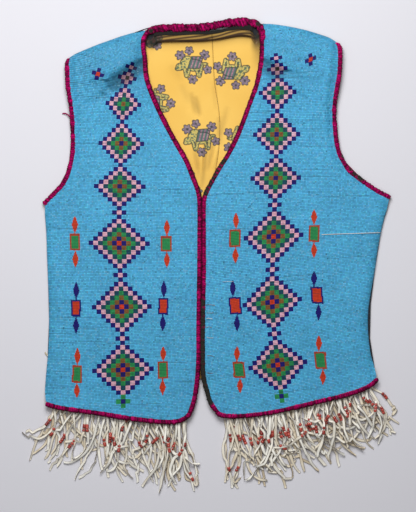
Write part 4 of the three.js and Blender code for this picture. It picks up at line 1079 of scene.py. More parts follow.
def cottonFinish():
    # golden cotton with a made-up print: a blanketed grazing beast among rosettes, dark outlines, mauve and olive fill
    finish = Finish("printed_cotton", Roughness=0.85, Sheen_Weight=0.06)
    ground = finish.ramp(finish.noise(9.0, 3.0), (0.3, linear(238, 188, 84)), (0.7, linear(250, 204, 102)))
    parts = finish.node("SeparateXYZ", None, {0: finish.node("UVMap", {"uv_map": "motif"})})
    u, v = parts, Wire(finish, parts.end.node.outputs[1])

    def nearest(shape, rows):
        # the nearest of several like shapes: the least of their distances
        joined = shape(*rows[0])
        for row in rows[1:]:
            joined = joined.least(shape(*row))
        return joined

    def blob(cx, cy, rx, ry):
        # rough distance outside an ellipse, below 0 inside it
        return ((((u - cx) * (1 / rx)) ** 2.0 + ((v - cy) * (1 / ry)) ** 2.0).root() - 1.0) * min(rx, ry)

    def rosette(cx, cy, reach, count, turn):
        # distance outside a flower whose rim is reach * (0.68 + 0.36 |cos(count * angle / 2 + turn)|)
        dx, dy = u - cx, v - cy
        angle = u.maths("ARCTAN2", dy, dx)
        wave = u.maths("COSINE", angle * (count / 2) + turn)
        return (dx * dx + dy * dy).root() - (wave.size() * (0.36 * reach) + reach * 0.68)

    def leg(cx, foot, reach, lean):
        # distance outside an upright bar with round ends, from the foot up to the body
        dx, dy = u - cx - (v + 0.2) * lean, (foot - v).most(v + 0.1).most(0.0)
        return (dx * dx + dy * dy).root() - reach

    look = printLook
    beast = nearest(blob, look["blobs"]).least(nearest(leg, look["legs"]))
    slant = u - 0.14 - v * 0.32
    blanket = (slant.size() - 0.33).most((v - 0.18).size() - 0.33)
    stripes = u.maths("SINE", slant * 30.0)
    flowers = nearest(rosette, [row[:5] for row in look["flowers"]])
    hearts = nearest(blob, [(cx, cy, heart, heart) for cx, cy, _, _, _, heart in look["flowers"]])
    speckle = finish.noise(420.0, 2.0)
    beastFill = finish.ramp(finish.noise(230.0, 2.0), (0.40, linear(96, 116, 88)), (0.48, linear(214, 192, 104)),
                            (0.54, linear(206, 186, 102)), (0.62, linear(104, 120, 96)))
    mauve = finish.ramp(speckle, (0.35, linear(132, 92, 118)), (0.65, linear(178, 146, 144)))
    blanketFill = finish.mix(stripes.under(0.1, 0.3), mauve, linear(84, 108, 102))
    flowerFill = finish.ramp(speckle, (0.35, linear(110, 92, 118)), (0.65, linear(158, 140, 142)))
    colour = ground
    for shape, fill in ((flowers, flowerFill), (beast, beastFill), (blanket, blanketFill)):
        colour = finish.mix(shape.under(0.0, 0.02), colour, fill)
    lines = beast.size().least(blanket.size()).least(flowers.size())
    ink = lines.under(0.028, 0.022).most(hearts.under(0.0, 0.03))
    colour = finish.mix(ink * 0.86, colour, linear(50, 58, 54))
    # painted shade in dark brown where the lining lies in its folds, under the neck binding and in its right corner
    colour = finish.mix(finish.attribute("soil"), colour, linear(58, 36, 12))
    facing = finish.ramp(finish.noise(200.0, 3.0), (0.38, linear(18, 30, 24)), (0.5, linear(44, 42, 30)),
                         (0.6, linear(70, 40, 36)), (0.7, linear(110, 104, 84)))
    # the dark facing's colour, which also paints shade into the lining's right corner
    colour = finish.mix(finish.attribute("facing"), colour, facing)
    finish.feed("Base Color", colour)
    finish.bump(finish.noise(1500.0, 2.0), 0.0003, 0.4)
    return finish


facingLook = {"x": (-80.5, 56), "fromNeck": (4.2, -0.4), "columns": 122, "rows": 9, "base": 5.1, "wall": 0.8,
              "narrowing": 3.4, "narrowFrom": 22, "narrowOver": 26, "wave": 0.35}


def facingPiece(finish):
    # narrow dark facing under the neck binding: the lining's own lift moved up, with a wave of uneven pace
    look = facingLook
    near, far = look["fromNeck"]
    fromNeck = np.linspace(near, far, look["rows"])
    lift = curveThrough(neckFold, "fromNeck", "lift")(fromNeck)
    x, below = np.meshgrid(np.linspace(*look["x"], look["columns"]), fromNeck)
    narrower = smooth((x - look["narrowFrom"]) / look["narrowOver"])
    below = below - look["narrowing"] * narrower * (near - below) / (near - far)
    wave = look["wave"] * np.sin(x * 0.5 + 1.2 * np.sin(x * 0.11))
    z = look["base"] + lift[:, None] + 0.25 * wave
    outer = np.stack([x, backTop(x) - below - 0.2 * wave, z], axis=2)
    points, faces = wallMesh(outer, outer - np.array([0, 0, look["wall"]]))
    return makePiece("neck_facing_cloth", points, faces, finish, replaced=("neck_facing",))


neckRollPath = table("x y z width", [148.2, 33.3, 7.6, 1.05], [151.5, 30.2, 6.0, 1.1], [158, 28.3, 5.2, 1.15],
                     [170, 27.7, 5.2, 1.2], [185, 27.6, 5.2, 1.15], [200, 27.2, 5.2, 1.1], [210, 26.2, 5.2, 1.15],
                     [220, 24.2, 5.4, 1.25], [230, 22.6, 5.4, 1.2], [240, 21.9, 5.4, 1.25], [248, 21.6, 5.6, 1.25],
                     [254, 22.9, 6.4, 1.2], [258.5, 25.6, 8.2, 1.1], [261.6, 29.8, 10.2, 1.05],
                     [263.2, 35.0, 11.8, 0.95], [263.4, 41.0, 12.2, 0.8])
neckRollLook = {"halfWidth": 4.5, "halfHeight": 3.9, "offset": 0, "pitch": 6.6, "ridge": 1.0, "lean": 2.1, "lump": 2.2,
                "sides": 22, "step": 0.6, "slack": 2.4}


def neckBinding(finish):
    # the thick ruched roll of the back neck, which turns down the right front's corner
    look = bindingLook | neckRollLook
    index = np.linspace(0, len(neckRollPath["x"]) - 1, 300)
    x, y, z, look["width"] = (between(values, index) for values in neckRollPath.values())
    x, y = fromPhoto(x, y)
    return bindingPiece("neck_binding_back", np.stack([x, y, z], axis=1), -1, look, finish, 31, soften=2.0)


def clothFinish(name, dark, pale):
    # wool cloth: two crossed threads by fine waves of the object's place, and loose fibres
    finish = Finish(name, Roughness=0.95, Sheen_Weight=0.05)
    warp, weft = (finish.node("TexWave", {"wave_type": "BANDS", "bands_direction": way},
                              {"Vector": finish.place(), "Scale": 320.0, "Distortion": 0.6}) for way in ("X", "Y"))
    threads = warp * 0.5 + weft * 0.5
    fuzz = finish.noise(240.0, 4.0)
    finish.feed("Base Color", finish.ramp(threads * 0.35 + fuzz * 0.65, (0.25, dark), (0.8, pale)))
    finish.bump(threads + fuzz * 0.6, 0.0003, 0.6)
    return finish


# Fringe: the same thongs as the solids, laid in the same order
strandForm = {"width": 3.1, "thickness": 1.2, "clearance": 0.45, "tries": 24, "highestAtHem": 6.2,
              "lowUntil": 11, "beside": 0.6, "floor": 0.35, "steps": 6, "perStep": 4, "levels": 3,
              "descent": (0.35, 0.75), "shortest": 0.84, "spread": 0.3, "jitter": 0.3, "rootsIn": 2.5}
leftThongs = {
    "count": 50, "salt": 79, "left": -259, "right": -18, "low": -323,
    "rows": table("at lean turn stray curl wave length", [0, -22, 20, 26, 150, 16, 76],
                  [0.15, -28, 16, 36, 200, 28, 88], [0.3, -14, 4, 38, 180, 26, 94],
                  [0.5, -2, -6, 36, 180, 26, 96], [0.75, 4, -6, 34, 170, 26, 94], [1, 2, -4, 20, 110, 16, 96]),
}
rightThongs = {
    "count": 60, "salt": 110, "left": 14, "right": 259, "low": -325,
    "rows": table("at lean turn stray curl wave length", [0, 2, -8, 22, 90, 18, 104],
                  [0.2, 2, 4, 36, 180, 28, 104], [0.45, 4, 4, 36, 170, 28, 98], [0.7, 8, 4, 34, 150, 26, 92],
                  [0.88, 14, 0, 28, 110, 22, 80], [1, 20, -6, 14, 60, 16, 76]),
}


def chance(index, salt):
    # a number from 0 to 1, the same at each run: the fraction of 43758.5453 sin(12.9898 index + 78.233 salt)
    value = math.sin(index * 12.9898 + salt * 78.233) * 43758.5453
    return value - math.floor(value)


def thongPlan(root, thongs, reads, index, attempt):
    # the line of one thong: its angle is lean + stray * smooth(2t) + turn * t^2 + a wave
    f = strandForm
    salt = thongs["salt"] + 20 * attempt
    stray = (chance(index, salt) - 0.5) * 2 * reads["stray"]
    bend = 2 * chance(index, salt + 1) - 1
    turn = reads["turn"] + math.copysign(1, bend) * bend * bend * reads["curl"]
    wobble = reads["wave"] * (2 * chance(index, salt + 3) - 1)
    pieces = f["steps"] * f["perStep"]
    step = reads["length"] * (f["shortest"] + f["spread"] * chance(index, salt + 2)) / pieces
    t = (np.arange(1, pieces + 1) - 0.5) / pieces
    angle = np.radians(reads["lean"] + stray * smooth(2 * t) + turn * t * t + wobble * np.sin(2 * np.pi * t))
    walk = np.cumsum(np.stack([np.sin(angle), -np.cos(angle)], axis=1) * step, axis=0)
    return np.concatenate([[root], root + walk])


def heightsAt(heights):
    # the height of each point of a thong, straight between the ends of its steps
    steps, n = strandForm["steps"], strandForm["perStep"]
    return np.interp(np.arange(steps * n + 1) / n, np.arange(steps + 1), heights)


def gapsTo(plan, laid):
    # level distance of each point of a plan from each point that was laid before
    return np.hypot(plan[:, None, 0] - laid[None, :, 0], plan[:, None, 1] - laid[None, :, 1])


def outsideOf(plan, thongs, spare=0):
    # how far a plan leaves the strip that its hem's thongs may fill
    return max(0, thongs["left"] - plan[:, 0].min(), plan[:, 0].max() - thongs["right"],
               thongs["low"] + spare - plan[:, 1].min())


def thongHeights(plan, rootZ, laid):
    # as low as the thongs under it allow: both ends of a step rise by what a point between them lacks
    f = strandForm
    floor = f["floor"] + f["thickness"] / 2
    heights = [rootZ] + [lerp(rootZ, floor, share) for share in f["descent"]] + [floor] * (f["steps"] - 2)
    fault, free = 0.0, -99.0
    under = np.where(gapsTo(plan, laid) < f["width"] + f["beside"], laid[None, :, 2], free)
    needs = under.max(axis=1, initial=free)
    for i in np.flatnonzero(needs > free):
        step = min(i // f["perStep"], f["steps"] - 1)
        t = i / f["perStep"] - step
        lack = needs[i] + f["thickness"] + f["clearance"] - lerp(heights[step], heights[step + 1], t)
        if lack <= 0:
            continue
        heights[step + 1] += lack / max(t, 0.5) if step == 0 else lack
        if step > 0:
            heights[step] += lack
        elif t < 0.5:
            fault += lack
    count = int((plan[0, 1] - plan[:, 1] < f["lowUntil"]).sum())
    fault += np.maximum(heightsAt(heights)[:count] - f["highestAtHem"], 0).sum()
    return heights, fault


def rootLine(front):
    # the line under the hem from which the thongs come, and how far along it each of its points is
    row = frontRow(front, np.zeros(1))
    width = abs(row["x1"][0] - row["x0"][0])
    places = np.concatenate([np.linspace(form["sideRoll"], width - form["edgeRoll"], 7),
                             [width - 0.35 * form["edgeRoll"]]])
    x = lerp(row["x0"][0], row["x1"][0], places / width)
    y = rowHeight(front, np.zeros(len(x)), x)[0]
    line = np.stack([x, y + strandForm["rootsIn"]], axis=1)
    line = line[np.argsort(line[:, 0])]
    return line, np.concatenate([[0], np.cumsum(np.hypot(*np.diff(line, axis=0).T))])


def layThongs(front, thongs):
    # three levels of roots along the hem; each thong tries some ways to lie and keeps the cheapest, where the
    # cost is its highest, mean and last height + 20 times what it lacks + half of what it leaves its strip by
    line, along = rootLine(front)
    laid, strands = np.zeros((0, 3)), []
    f = strandForm
    for level in range(f["levels"]):
        rootZ = f["floor"] + f["thickness"] / 2 + level * (f["thickness"] + f["clearance"])
        for index in range(level, thongs["count"], f["levels"]):
            jitter = f["jitter"] * (chance(index, thongs["salt"] + 4) - 0.5)
            target = (index + 0.5 + jitter) / thongs["count"] * along[-1]
            root = np.array([np.interp(target, along, line[:, 0]), np.interp(target, along, line[:, 1])])
            at = (index + 0.5) / thongs["count"]
            reads = {name: float(curveThrough(thongs["rows"], "at", name)(at))
                     for name in thongs["rows"] if name != "at"}
            best = None
            for attempt in range(f["tries"]):
                plan = thongPlan(root, thongs, reads, index, attempt)
                heights, fault = thongHeights(plan, rootZ, laid)
                cost = max(heights) + sum(heights) / len(heights) + heights[-1] + 20 * fault
                cost += 0.5 * outsideOf(plan, thongs)
                if best is None or cost < best[0] - 1e-6:
                    best = (cost, plan, heights)
            _, plan, heights = best
            strands.append(np.concatenate([plan, heightsAt(heights)[:, None]], axis=1))
            laid = np.concatenate([laid, strands[-1]])
    return strands


beadedThongs = {"rootSpread": 13, "bend": 42, "after": (26, 54), "curl": 42, "kink": 55, "tries": 10,
                "points": 14, "beadHeight": 2.5, "beadReach": 2.2, "rootTurn": 14, "pull": 0.8, "kinkAt": (0.15, 0.8),
                "back": 8, "sink": 0.7, "air": 0.1, "highestAtHem": 5.6}


def threadedThong(root, place, rng):
    # root to bead group on a cubic with a bent end, then on: angle = start + curl * t^1.5 + kink * step(t - where)
    look = beadedThongs
    away = place - root
    reach = np.hypot(*away)
    heading = math.atan2(away[1], away[0]) + math.radians(rng.uniform(-1, 1) * look["bend"])
    startTurn = math.radians(-90 + rng.uniform(-look["rootTurn"], look["rootTurn"]))
    t = np.linspace(0, 1, look["points"])[:, None]
    d0, d1 = (reach * look["pull"] * np.array([math.cos(way), math.sin(way)]) for way in (startTurn, heading))
    first = (root * (2 * t**3 - 3 * t**2 + 1) + d0 * (t**3 - 2 * t**2 + t)
             + place * (3 * t**2 - 2 * t**3) + d1 * (t**3 - t**2))
    length = rng.uniform(*look["after"])
    u = np.arange(1, look["points"] + 1) / look["points"]
    kink = math.radians(rng.normal(0, look["kink"])) * smooth((u - rng.uniform(*look["kinkAt"])) * 7 + 0.5)
    angle = heading + math.radians(rng.normal(0, look["curl"])) * u**1.5 + kink
    walk = np.cumsum(np.stack([np.cos(angle), np.sin(angle)], axis=1) * length / look["points"], axis=0)
    return np.concatenate([first, place + walk])


def layBeadedThongs(front, thongs, groups, strands, seed):
    # further thongs, each through one group of beads, on top of what lies there
    rng, look, f = np.random.default_rng(seed), beadedThongs, strandForm
    line, _ = rootLine(front)
    laid = np.concatenate(strands)
    made = []
    for gx, gy, _ in zip(*groups.values()):
        place = np.array(fromPhoto(gx, gy))
        best = None
        for _ in range(look["tries"]):
            rootX = np.clip(place[0] + rng.uniform(-1, 1) * look["rootSpread"], line[:, 0].min(), line[:, 0].max())
            root = np.array([rootX, np.interp(rootX, line[:, 0], line[:, 1])])
            plan = threadedThong(root, place, rng)
            outside = max(outsideOf(plan, thongs, 1), plan[look["points"]:, 1].max() - place[1] - look["back"])
            under = np.where(gapsTo(plan, laid) < f["width"], laid[None, :, 2], f["floor"] - look["sink"])
            need = under.max(axis=1) + f["thickness"] + look["air"]
            nearRoot = plan[:, 1] > root[1] - f["lowUntil"]
            need = np.where(nearRoot, np.minimum(need, look["highestAtHem"]), need)
            cost = outside * 2 + need.max() + need.mean()
            if best is None or cost < best[0]:
                best = (cost, plan, need)
        _, plan, need = best
        fromBeads = (np.arange(len(plan)) - (look["points"] - 1)) / look["beadReach"]
        need = np.maximum(need, look["beadHeight"] * np.exp(-(fromBeads**2)))
        need = np.maximum(need, np.convolve(np.pad(need, 1, "edge"), [0.5, 0, 0.5], "valid"))
        made.append(np.concatenate([plan, need[:, None]], axis=1))
        laid = np.concatenate([laid, made[-1]])
    return made


thongLook = {"points": 44, "sides": 10, "width": 3.7, "thickness": 1.1, "twist": 0.75, "swell": 0.16, "kinks": 5,
             "kink": 1.9, "blur": (0.1, 0.2, 0.4, 0.2, 0.1), "cup": 0.16, "slant": 0.9, "above": 0.06}


def thongRibbon(strand, rng):
    # a flat strip carried along its strand: width and twist wander, the section is a flattened ring of ten points
    look = thongLook
    n = look["points"]
    index = np.linspace(0, len(strand) - 1, n)
    path = np.stack([between(values, index) for values in strand.T], axis=1)
    path[:, 2] = np.convolve(np.pad(path[:, 2], 2, "edge"), look["blur"], "valid")
    t = np.linspace(0, 1, n)
    bends = np.sort(np.concatenate([[0, 0.16, 1], rng.uniform(0.24, 0.94, look["kinks"])]))
    for k in (0, 1):
        path[:, k] += np.interp(t, bends, np.concatenate([[0, 0], rng.normal(0, look["kink"], len(bends) - 2)]))
    tangent = unit(np.gradient(path, axis=0))
    side = leftward(tangent)
    upward = np.cross(tangent, side)
    twist = wander(rng, t, look["twist"], 6) * smooth(t * 5) * smooth((path[:, 2] - 0.3) / 2 + 0.3)
    halfWidth = look["width"] / 2 * (1 + wander(rng, t, look["swell"], 9)) * (1 - 0.1 * smooth((t - 0.9) / 0.1))
    across = side * np.cos(twist)[:, None] + upward * np.sin(twist)[:, None]
    up = upward * np.cos(twist)[:, None] - side * np.sin(twist)[:, None]
    low = path[:, 2] - np.abs(np.sin(twist)) * halfWidth - look["thickness"] / 2
    path[:, 2] += np.maximum(look["above"] - low, 0)
    angle = np.arange(look["sides"]) / look["sides"] * 2 * np.pi
    flat = np.abs(np.cos(angle)) ** 0.55 * np.sign(np.cos(angle))
    # only the last ring leans: the end is cut aslant
    slant = rng.uniform(-look["slant"], look["slant"]) * (np.arange(n) == n - 1)
    rounded = np.abs(np.sin(angle)) ** 0.8 * np.sign(np.sin(angle))
    cup = look["cup"] * (flat**2 - 0.4)
    ring = (path[:, None] + across[:, None] * (halfWidth[:, None] * flat)[..., None]
            + up[:, None] * (look["thickness"] / 2 * rounded + cup)[None, :, None]
            + tangent[:, None] * (slant[:, None] * halfWidth[:, None] * flat)[..., None])
    return ring, path, tangent, side


def ribbonsMesh(rings, shades):
    # all strips of a hem in one mesh, each closed at both ends
    n, sides = rings[0].shape[:2]
    k = np.arange(sides // 2 - 1)
    cap = np.stack([k, k + 1, (sides - 2 - k) % sides, (sides - 1 - k) % sides], axis=1)
    one = np.concatenate([gridFaces(n, sides, 0, wrap=True)[:, ::-1], cap[:, ::-1], cap + (n - 1) * sides])
    faces = [one + i * n * sides for i in range(len(rings))]
    return np.concatenate(rings).reshape(-1, 3), np.concatenate(faces), np.repeat(shades, n * sides)


def thongFinish():
    # buckskin: cream with a grey-brown cast that differs from thong to thong, with painted shade on thongs that lie low
    # and along the strips' edges, napped surface
    finish = Finish("buckskin_thong", Roughness=0.82, Sheen_Weight=0.08)
    tone, grimeAndShade, edge = finish.attribute("tone"), finish.noise(70.0, 3.0), finish.attribute("edge")
    base = finish.ramp(tone * 0.5 + grimeAndShade * 0.5, (0.15, linear(156, 132, 100)), (0.36, linear(232, 219, 193)),
                       (0.60, linear(255, 252, 241)))
    # the strips' cut edges are brown, darkened further as painted shade along their sides
    cutEdgeAndShade = finish.mix((edge * 2.1 + grimeAndShade * 0.7 - 0.42).most(0.0).least(0.95), base, linear(80, 54, 34))
    finish.feed("Base Color", cutEdgeAndShade)
    finish.bump(finish.noise(1500.0, 3.0), 0.0004, 0.5)
    return finish


def thongTonesAndShade(made, rng):
    # tone of each thong: painted shade that makes thongs lying low darker than those on top, by their rank by height,
    # and chance
    rank = np.argsort(np.argsort([m[1][8:30, 2].mean() for m in made])) / len(made)
    return 0.45 * rng.uniform(0, 1, len(made)) + 0.55 * rank


def fringePiece(name, strands, finish, seed):
    # one hem's fringe, and the strips its beads are threaded on
    rng = np.random.default_rng(seed)
    made = [thongRibbon(strand, rng) for strand in strands]
    points, faces, tone = ribbonsMesh([m[0] for m in made], thongTonesAndShade(made, rng))
    # edge: 1 on the strips' narrow sides, where the finish paints brown cut edges and shade
    edge = np.abs(np.cos(np.arange(thongLook["sides"]) / thongLook["sides"] * 2 * np.pi)) ** 6
    piece = makePiece(name + "_thongs", points, faces, finish, replaced=(name,),
                      values={"tone": tone, "edge": np.tile(edge, len(tone) // len(edge))})
    return piece, made


# Red beads threaded on the thongs, in groups: place in the photograph and how many
thongBeads = {"radius": 2.35, "hole": 1.0, "spacing": 3.7, "half": 1.85, "sides": 8, "ring": 12}
leftGroups = table("x y count", [46.8, 424, 2], [53.6, 432, 2], [63.5, 439, 3], [70, 445, 3], [83.5, 425, 2],
                   [88.6, 428, 2], [104, 444, 2], [111, 436, 3], [115, 438, 3], [123, 428, 1], [127, 422, 2],
                   [119, 448, 2], [138.5, 446, 2], [146, 442, 3], [154, 441, 3], [166, 440, 2], [169, 441, 2],
                   [168, 449, 2], [176, 446, 2], [182, 446, 1], [180, 453, 2], [192, 478, 2])
rightGroups = table("x y count", [231, 439, 2], [235, 430, 2], [239, 438, 2], [245, 440, 3], [249, 442, 2],
                    [259, 441, 2], [263, 433, 2], [264, 440, 1], [271, 436, 1], [269, 443, 1], [274, 434, 2],
                    [281, 437, 2], [285, 432, 3], [289, 433, 3], [283, 448, 2], [299.5, 429, 2], [304, 432, 2],
                    [309, 428, 2], [311.5, 423, 3], [317, 428, 2], [320, 416, 2], [329, 417, 2], [326, 422, 2],
                    [323, 429, 2], [335, 421, 2], [343, 414, 3], [347, 411, 3], [351, 406, 3], [366, 400, 2],
                    [371, 403, 2], [376, 407, 2], [381.6, 410, 2], [385, 396, 2], [231, 470, 1], [237, 471, 1])


def beadRing(centre, tangent, side, look):
    # a torus round the thong: hole radius stretched to the strip, flattened along the thread
    upward = np.cross(tangent, side)
    a = np.arange(look["ring"]) / look["ring"] * 2 * np.pi
    b = np.arange(look["sides"]) / look["sides"] * 2 * np.pi
    radius = (look["radius"] + look["hole"]) / 2 + (look["radius"] - look["hole"]) / 2 * np.cos(b)[None, :]
    along = look["half"] * np.sin(b)[None, :] + 0 * a[:, None]
    return (centre + side * (radius * np.cos(a)[:, None])[..., None]
            + upward * (radius * np.sin(a)[:, None])[..., None] + tangent * along[..., None])


def beadGroups(name, groups, made, finish, seed):
    # each group sits where its own thong passes its place, bead behind bead
    rng = np.random.default_rng(seed)
    look = thongBeads
    points, faces, tone, start = [], [], [], 0
    rings, sides = look["ring"], look["sides"]
    i, j = np.meshgrid(np.arange(rings), np.arange(sides), indexing="ij")
    one = np.stack([i * sides + j, ((i + 1) % rings) * sides + j, ((i + 1) % rings) * sides + (j + 1) % sides,
                    i * sides + (j + 1) % sides], axis=-1).reshape(-1, 4)
    atGroup = (beadedThongs["points"] - 1) / (2 * beadedThongs["points"] - 1)
    for count, (_, path, tangent, side) in zip(groups["count"] + 1, made):
        middle = atGroup * (len(path) - 1)
        spacing = np.linalg.norm(path[int(middle) + 2] - path[int(middle)]) / 2
        for n in range(int(count)):
            k = int(round(middle + look["spacing"] / spacing * (n - (count - 1) / 2)))
            k = min(max(k, 2), len(path) - 3)
            centre = path[k] + np.array([0, 0, max(0, look["radius"] + 0.1 - path[k, 2])])
            points.append(beadRing(centre, tangent[k], side[k], look).reshape(-1, 3))
            faces.append(one + start)
            tone.append(np.full(rings * sides, rng.uniform(0, 1)))
            start += rings * sides
    points, faces = np.concatenate(points), np.concatenate(faces)
    return makePiece(name, points, faces, finish, values={"tone": np.concatenate(tone)})


def redGlassFinish():
    # glossy red glass that differs from bead to bead
    finish = Finish("red_glass_beads", Roughness=0.28, Coat_Weight=0.4, Coat_Roughness=0.15)
    tone = finish.attribute("tone")
    finish.feed("Base Color", finish.ramp(tone * 0.8 + finish.noise(300.0) * 0.2, (0.1, linear(138, 34, 26)),
                                          (0.9, linear(204, 84, 70))))
    return finish


# Loose ends: a pulled pale thread, bead-row threads at the right front's edge and a tail of binding wool
looseThreads = {
    "pale": table(threadColumns, [321.5, 234.6, 351, 233.6, 380.8, 232.6, 0.45],
                  [206.4, 318.6, 209, 317.8, 212.6, 319.2, 0.32], [206.8, 337.0, 210, 338.6, 213.4, 337.6, 0.28],
                  [222.5, 282.0, 228, 281.0, 233.5, 281.8, 0.22]),
    "brown": table(threadColumns, [206.0, 304.8, 210, 304.0, 215.0, 305.6, 0.34],
                   [206.6, 312.4, 209, 313.6, 213.6, 312.6, 0.30], [206.2, 327.4, 209.6, 326.0, 211.8, 327.8, 0.34],
                   [207.0, 355.6, 211, 355.0, 214.0, 356.6, 0.28], [207.4, 372.6, 210.6, 373.6, 213.2, 372.8, 0.28]),
    "wool": table(threadColumns, [70.5, 117.6, 66.5, 112.0, 62.2, 113.4, 0.85]),
    "tuft": table(threadColumns, [348.2, 171.2, 350.4, 173.4, 352.4, 171.4, 1.5]),
    "nub": table(threadColumns, [49.5, 356.6, 46.2, 355.6, 44.8, 352.4, 1.0]),
    "shoulder": table(threadColumns, [127.5, 36.2, 139, 30.6, 149.5, 27.8, 0.75]),
}


def surfaceZ(front, x, y):
    # height of a front's surface at the given places
    s = rowOfPlace(front, x, y)
    _, t, row = rowHeight(front, s, x)
    return frontHeight(front, row, x, y, t)


threadLook = {"points": 14, "sides": 6, "rise": 0.35, "swell": 0.12}


def threadPiece(name, rows, front, finish, values=None, fixedZ=None):
    # each row is a bent thread: (1-t)^2 a + 2t(1-t) b + t^2 c, laid on the front or at given heights
    look = threadLook
    points, faces, start = [], [], 0
    t = np.linspace(0, 1, look["points"])
    for x0, y0, x1, y1, x2, y2, width in zip(*rows.values()):
        x, y = fromPhoto(*((1 - t) ** 2 * a + 2 * t * (1 - t) * b + t**2 * c
                           for a, b, c in ((x0, x1, x2), (y0, y1, y2))))
        z = surfaceZ(front, x, y) + look["rise"] + width if fixedZ is None else np.interp(t, [0, 0.4, 1], fixedZ)
        path = np.stack([x, y, z], axis=1)
        tangent = unit(np.gradient(path, axis=0))
        across = leftward(tangent)
        thick = np.full((len(t), look["sides"]), width) * (1 + look["swell"] * np.sin(t * 40))[:, None]
        made, quads = tubeMesh(path, across, np.cross(tangent, across), thick, thick)
        points.append(made)
        faces += [[corner + start for corner in face] for face in quads]
        start += len(made)
    points = np.concatenate(points)
    given = {key: np.full(len(points), value) for key, value in (values or {}).items()}
    return makePiece(name, points, faces, finish, values=given)


def threadFinish(name, dark, pale):
    # a spun thread or strip of one colour, mottled
    finish = Finish(name, Roughness=0.8)
    finish.feed("Base Color", finish.ramp(finish.noise(500.0, 2.0), (0.35, dark), (0.65, pale)))
    finish.bump(finish.noise(2400.0, 2.0), 0.0002, 0.5)
    return finish


# build
beads, hide, wool = beadFinish(), hideFinish(), woolFinish()
cotton, buckskin, redGlass = cottonFinish(), thongFinish(), redGlassFinish()
darkCloth = clothFinish("dark_wool_cloth", linear(20, 22, 26), linear(50, 52, 58))
facingCloth = clothFinish("dark_facing_cloth", linear(8, 12, 9), linear(30, 28, 22))

hideLeft = hideWall("front_left_hide", leftFront, hide, "front_left")
hideRight = hideWall("front_right_hide", rightFront, hide, "front_right")
beadsLeft = beadSheet("front_left_beads", leftFront, leftBeads, beads)
beadsRight = beadSheet("front_right_beads", rightFront, rightBeads, beads)
print("fronts", len(beadsLeft.data.polygons), len(beadsRight.data.polygons))

edgeLeft, edgeRight, armLeft, armRight = (
    bindingPiece(name, path, side, bindingLook, wool, seed, **own) for name, path, side, seed, own in (
        # rim sets how far round the edge bindings' far side the painted shade reaches
        ("edge_binding_left", openEdgePath(leftFront), -1, 11, {"offset": 3.4, "rim": 0.1}),
        ("edge_binding_right", openEdgePath(rightFront), 1, 12, {"offset": 2.9, "rim": 0.2}),
        ("armhole_binding_left", armholePath(leftFront), -1, 13, {"offset": 2.2, "curl": 3.6}),
        ("armhole_binding_right", armholePath(rightFront), 1, 14, {"offset": 2.7, "curl": 4.2})))
neckRoll = neckBinding(wool)
print("bindings")

liningLeft = liningPiece("back_lining_left_cotton", "left", cotton, "back_lining_left")
liningRight = liningPiece("back_lining_right_cotton", "right", cotton, "back_lining_right")
facing = facingPiece(facingCloth)
print("lining")

paleThread = threadPiece("pulled_thread", looseThreads["pale"], rightFront,
                         threadFinish("pale_thread", linear(206, 206, 200), linear(240, 240, 236)))
brownThread = threadPiece("sinew_ends", looseThreads["brown"], rightFront,
                          threadFinish("sinew", linear(96, 70, 52), linear(168, 140, 110)))
# the wool tail takes a little painted shade all over, the tuft none
woolTail = threadPiece("wool_tail", looseThreads["wool"], leftFront, wool,
                       {"deep": 0.3, "tint": 0.4, "worn": 0.0}, fixedZ=[5.0, 4.0, 1.1])
woolTuft = threadPiece("wool_tuft", looseThreads["tuft"], rightFront, wool,
                       {"deep": 0.0, "tint": 1.0, "worn": 0.0}, fixedZ=[8.6, 9.2, 8.4])
nub = threadPiece("side_thong_end", looseThreads["nub"], leftFront,
                  threadFinish("thong_end", linear(190, 172, 140), linear(236, 224, 196)),
                  fixedZ=[2.6, 2.2, 1.2])
shoulderCloth = threadPiece("back_shoulder_edge", looseThreads["shoulder"], leftFront,
                            threadFinish("dark_cloth_edge", linear(16, 16, 20), linear(44, 44, 50)),
                            fixedZ=[6.0, 6.5, 6.5])
print("threads")

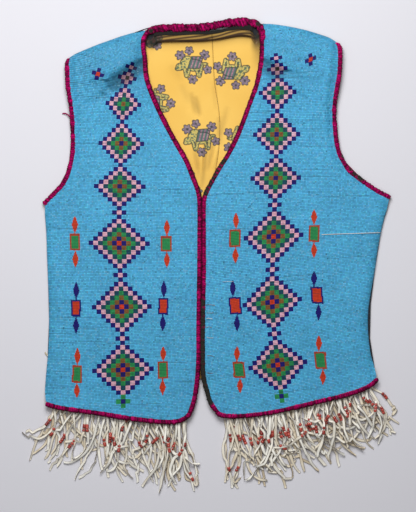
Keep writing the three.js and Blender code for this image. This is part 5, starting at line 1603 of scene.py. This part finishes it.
strandsLeft, strandsRight = layThongs(leftFront, leftThongs), layThongs(rightFront, rightThongs)
threadedLeft = layBeadedThongs(leftFront, leftThongs, leftGroups, strandsLeft, 51)
threadedRight = layBeadedThongs(rightFront, rightThongs, rightGroups, strandsRight, 52)
fringeLeft, ribbonsLeft = fringePiece("fringe_left", threadedLeft + strandsLeft, buckskin, 41)
fringeRight, ribbonsRight = fringePiece("fringe_right", threadedRight + strandsRight, buckskin, 42)
redLeft = beadGroups("fringe_left_beads", leftGroups, ribbonsLeft, redGlass, 43)
redRight = beadGroups("fringe_right_beads", rightGroups, ribbonsRight, redGlass, 44)
print("fringe")


def dressNode(node, finish):
    # a solid whose shape is right keeps it and only gets its finish
    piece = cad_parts[node]
    for slot in piece.material_slots:
        slot.material = finish.material
    return piece


backPanel = dressNode("back_panel", darkCloth)
for node in ("back_armhole_binding_left", "back_armhole_binding_right"):
    dressNode(node, clothFinish(node + "_wool", linear(96, 8, 52), linear(178, 30, 96)))

# floor and light
floorLook = {"size": 6.0, "pale": linear(226, 225, 231), "paler": linear(229, 228, 234)}
lightLook = {"key": {"power": 18.6, "size": 0.8, "place": (-0.12, 0.866, 1.237)},
             "fill": {"power": 6.0, "size": 1.6, "place": (-0.30, 0.10, 1.5)}}
skyLook = {"colour": (0.95, 0.96, 1.0, 1), "strength": 0.135}


def makeFloor():
    # the pale surface under the vest, only for the picture
    half = floorLook["size"] / 2
    mesh = bpy.data.meshes.new("floor")
    mesh.from_pydata([(-half, -half, 0), (half, -half, 0), (half, half, 0), (-half, half, 0)], [], [(0, 1, 2, 3)])
    finish = Finish("pale_floor", Roughness=0.9)
    finish.feed("Base Color", finish.ramp(finish.noise(1.2), (0.3, floorLook["pale"]), (0.7, floorLook["paler"])))
    mesh.materials.append(finish.material)
    floor = bpy.data.objects.new("floor", mesh)
    bpy.context.collection.objects.link(floor)


def makeLight(name, power, size, place):
    # a square lamp that looks at the vest's middle
    data = bpy.data.lights.new(name, "AREA")
    data.shape, data.size, data.energy = "SQUARE", size, power
    light = bpy.data.objects.new(name, data)
    bpy.context.collection.objects.link(light)
    light.location = place
    light.rotation_euler = (-Vector(place)).to_track_quat("-Z", "Y").to_euler()


makeFloor()
for name, look in lightLook.items():
    makeLight(name, **look)
world = bpy.data.worlds.new("studio")
bpy.context.scene.world = world
world.use_nodes = True
sky = world.node_tree.nodes["Background"].inputs
sky["Color"].default_value, sky["Strength"].default_value = skyLook["colour"], skyLook["strength"]
print("stage")
